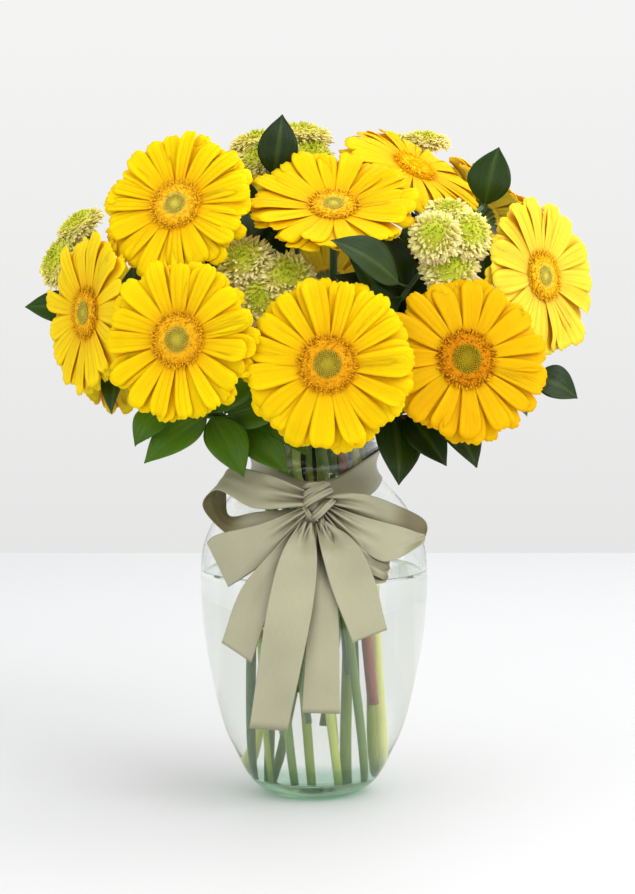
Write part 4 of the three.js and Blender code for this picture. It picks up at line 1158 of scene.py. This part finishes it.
def ribbon_strip(name, node, edges, steps, held, bulge=0.0, shaded_inside=(0, 0, 1), fullness=0.08):
    """A strip of ribbon between two edges, with low pleats where they draw together by the knot. The knot
    holds both ends of a folded strip, and one end of one that is hung."""
    hung = held == "hung"
    face, shade_start, shade_end = shaded_inside
    left, right = (curve(edge, steps) for edge in edges)
    # A tail ripples in a way of its own, from where its left edge ends
    phase = edges[0][-1][0]
    rows, reach, curl_shades = [], [0.0], []
    for i, (a, b) in enumerate(zip(left, right)):
        share = i / steps
        before, after = max(i - 1, 0), min(i + 1, steps)
        along = (left[after] + right[after] - left[before] - right[before]) / 2
        out = (b - a).cross(along).normalized()
        if i:
            reach.append(reach[-1] + ((a + b) / 2 - (left[i - 1] + right[i - 1]) / 2).length)
        spare = max(RIBBON_WIDTH ** 2 - (b - a).length_squared, 0) ** 0.5
        near = max(1 - smooth(share, 0, 0.26), 0 if hung else smooth(share, 0.74, 1))
        pleat = min(spare / (4 * PLEATS), MOST_PLEAT) * between(fullness, 1, near)
        crown = bulge * bell(share, 0.2, 0.16) + (0.5 if hung else 0.0)
        ripple = 1.3 * math.sin(share * 9 + phase) * smooth(share, 0.1, 0.5) if hung else 0
        row = []
        for j in range(RIBBON_COLUMNS + 1):
            u = 2 * j / RIBBON_COLUMNS - 1
            lift = crown * (1 - u * u) + ripple * u
            lift += pleat * math.sin(math.pi * PLEATS * u + 0.8 * math.sin(2.4 * u) + 0.6)
            row.append(a.lerp(b, j / RIBBON_COLUMNS) + out * lift)
        rows.append(row)
        # Painted shade on the face inside a loop's turn, over the span that the loop's row in the table gives
        inside = 1 - smooth(share, shade_end, shade_end + 0.1)
        curl_shades.append(face * smooth(share, shade_start - 0.1, shade_start) * inside)
    shell = Shell("along", "across", "edge", "side", "curl")
    shell.blade(rows, RIBBON_THICKNESS, ribbon_marks(reach, RIBBON_COLUMNS, curl_shades))
    piece = shell.make(name, RIBBON, node)


def make_band():
    """The band round the neck, which is lower and narrower in front, where it comes to the knot"""
    sides, columns = 120, 8
    rows = []
    for side in range(sides + 1):
        angle = math.tau * side / sides + math.pi / 2
        frontness = max(-math.sin(angle), 0)
        middle = BAND_MIDDLE - BAND_DIP * frontness ** 2
        height = BAND_HEIGHT * (1 - 0.3 * frontness ** 6)
        row = []
        for j in range(columns + 1):
            level = middle + (j / columns - 0.5) * height
            radius = vase_radius(level) + BAND_GAP + 0.25 * frontness ** 4 * math.sin(j * 2.2)
            row.append(spot(radius, angle, level))
        rows.append(row)
    reach = [side / sides * BAND_ROUND for side in range(sides + 1)]
    shell = Shell("along", "across", "edge", "side", "curl")
    shell.blade(rows, RIBBON_THICKNESS, ribbon_marks(reach, columns, [0.0] * len(rows)))
    piece = shell.make("ribbon_neck_band", RIBBON, "ribbon_band")


# The folds that wrap the knot: their ways, and how thick each is
KNOT_FOLDS = [
    ([(-9, -65, 199), (-5, -72, 206), (2, -75, 211), (9, -70, 214), (11, -63, 213)], 3.6),
    ([(-9, -65, 206), (-4, -72, 212), (3, -73, 216), (8, -67, 218), (9, -62, 216)], 3.0),
    ([(-5, -66, 194), (2, -74, 199), (8, -74, 205), (12, -67, 208), (12, -62, 208)], 3.7),
    ([(-9, -64, 211), (-7, -71, 204), (-4, -73, 198), (0, -71, 193), (2, -67, 191)], 2.9),
    ([(-8, -63, 214), (-3, -70, 217), (2, -71, 217.5), (6, -66, 216), (7, -62, 213)], 2.4),
    ([(1, -64, 201), (4, -70, 199), (5, -74, 194), (5, -74, 188), (4, -71, 182)], 2.4),
]


def knot_fold(shell, way, radius):
    """One fold of the knot: a flattened roll of ribbon with small pleats along it"""
    way = even_curve(way, 22)
    rings = []
    for i, (place, side, other) in enumerate(frames(way, Vector((0.3, 0.2, 1)))):
        fat = radius * (1 - 0.55 * abs(2 * i / (len(way) - 1) - 1) ** 3)
        ring = []
        for turn in turns(KNOT_SIDES):
            pleat = 1 + 0.15 * math.sin(6 * turn + 0.12 * i) + 0.06 * math.sin(11 * turn - 0.2 * i)
            ring.append(place + (side * math.cos(turn) + other * (0.72 * math.sin(turn))) * (fat * pleat))
        rings.append(ring)
    shell.body(rings, lambda i, j: {"along": i * 1.2, "across": j * 0.6})


def make_knot():
    """The knot: a tight wrap of ribbon in several folds over a core of gathered ribbon"""
    middle = Vector(KNOT["at"])
    size = Vector((KNOT["half_width"], KNOT["half_depth"], KNOT["half_height"]))
    levels = 24
    rings = []
    for i in range(levels + 1):
        level = 2 * i / levels - 1
        round_off = max(1 - abs(level) ** 2.6, 0) ** 0.5
        ring = []
        for angle in turns(48):
            out = max(round_off * (0.84 - 0.1 * abs(math.sin(4 * angle + 1.6 * level)) ** 3), 0.02)
            ring.append(middle + size * spot(out, angle, 0.95 * level))
        rings.append(ring)
    shell = Shell("along", "across", "edge", "side", "curl")
    shell.body(rings, lambda i, j: {"along": i * 0.8, "across": j * 0.6})
    for way, radius in KNOT_FOLDS:
        knot_fold(shell, way, radius)
    piece = shell.make("ribbon_knot", RIBBON, "ribbon_bow")


def make_ribbon():
    make_band()
    make_knot()
    for name, (shaded_inside, fullness, *edges) in LOOPS.items():
        ribbon_strip(f"ribbon_loop_{name}", "ribbon_bow", edges, LOOP_STEPS, "folded", 0.0, shaded_inside, fullness)
    for name, (pair, bulge, *edges) in TAILS.items():
        ribbon_strip(f"ribbon_tail_{name}", f"ribbon_tails_{pair}", edges, TAIL_STEPS, "hung", bulge)


# Floor, light and camera
def make_floor():
    half, far = 6.0, TABLE_EDGE * MM
    mesh = bpy.data.meshes.new("floor")
    corners = [(-half, -half, 0), (half, -half, 0), (half, far, 0), (-half, far, 0)]
    mesh.from_pydata(corners, [], [(0, 1, 2, 3)])
    mesh.materials.append(floor_paint())
    floor = link("floor", mesh)


def make_wall():
    """A pale wall, a little lighter towards the top. The room lights what it doesn't show, and the camera's
    side of it is dim in reflections."""
    world = bpy.data.worlds.new("studio")
    bpy.context.scene.world = world
    world.use_nodes = True
    nodes = Nodes(world.node_tree)
    way = nodes.node("ShaderNodeSeparateXYZ")
    nodes.fill(way, nodes.node("ShaderNodeTexCoord").outputs["Generated"])
    path = nodes.node("ShaderNodeLightPath").outputs
    wall = nodes.tree.nodes["Background"]
    nodes.fill(wall, WALL_COLOR, nodes.fade(way.outputs["Z"], -0.13, 0.13, WALL_LOW, WALL_HIGH))
    room = nodes.fill(nodes.node("ShaderNodeBackground"), ROOM_COLOR, ROOM_LIGHT)
    dim = nodes.fade(way.outputs["Y"], 0.1, 0.6, GLOSS_LIGHT, WALL_LOW)
    gloss = nodes.fill(nodes.node("ShaderNodeBackground"), ROOM_COLOR, dim)
    seen = nodes.blend(path["Is Diffuse Ray"], wall.outputs[0], room)
    mirrored = nodes.math("SUBTRACT", path["Is Glossy Ray"], path["Is Transmission Ray"], clamp=True)
    nodes.put(nodes.tree.nodes["World Output"].inputs["Surface"], nodes.blend(mirrored, seen, gloss))


def make_soft_box(name, place, size, power, aim):
    light = bpy.data.lights.new(name, "AREA")
    light.shape = "RECTANGLE"
    light.size, light.size_y = size
    light.energy = power
    lamp = link(name, light)
    lamp.location = place
    lamp.visible_transmission = False
    lamp.rotation_euler = (Vector(aim) - Vector(place)).to_track_quat("-Z", "Y").to_euler()


def make_camera():
    data = bpy.data.cameras.new("camera")
    data.lens = CAMERA_LENS
    data.sensor_width = 36
    data.clip_end = 50
    camera = link("camera", data)
    camera.location = Vector(CAMERA_AT) * MM
    camera.rotation_euler = (math.pi / 2 - CAMERA_TILT, 0, 0)
    bpy.context.scene.camera = camera
    bpy.context.scene.view_settings.view_transform = "Standard"


make_camera()
make_vase()
make_water()
make_gerberas()
make_button_sprays()
make_ruscus()
make_ribbon()
make_floor()
make_wall()
for box_name, box in SOFT_BOXES.items():
    make_soft_box(box_name, *box)
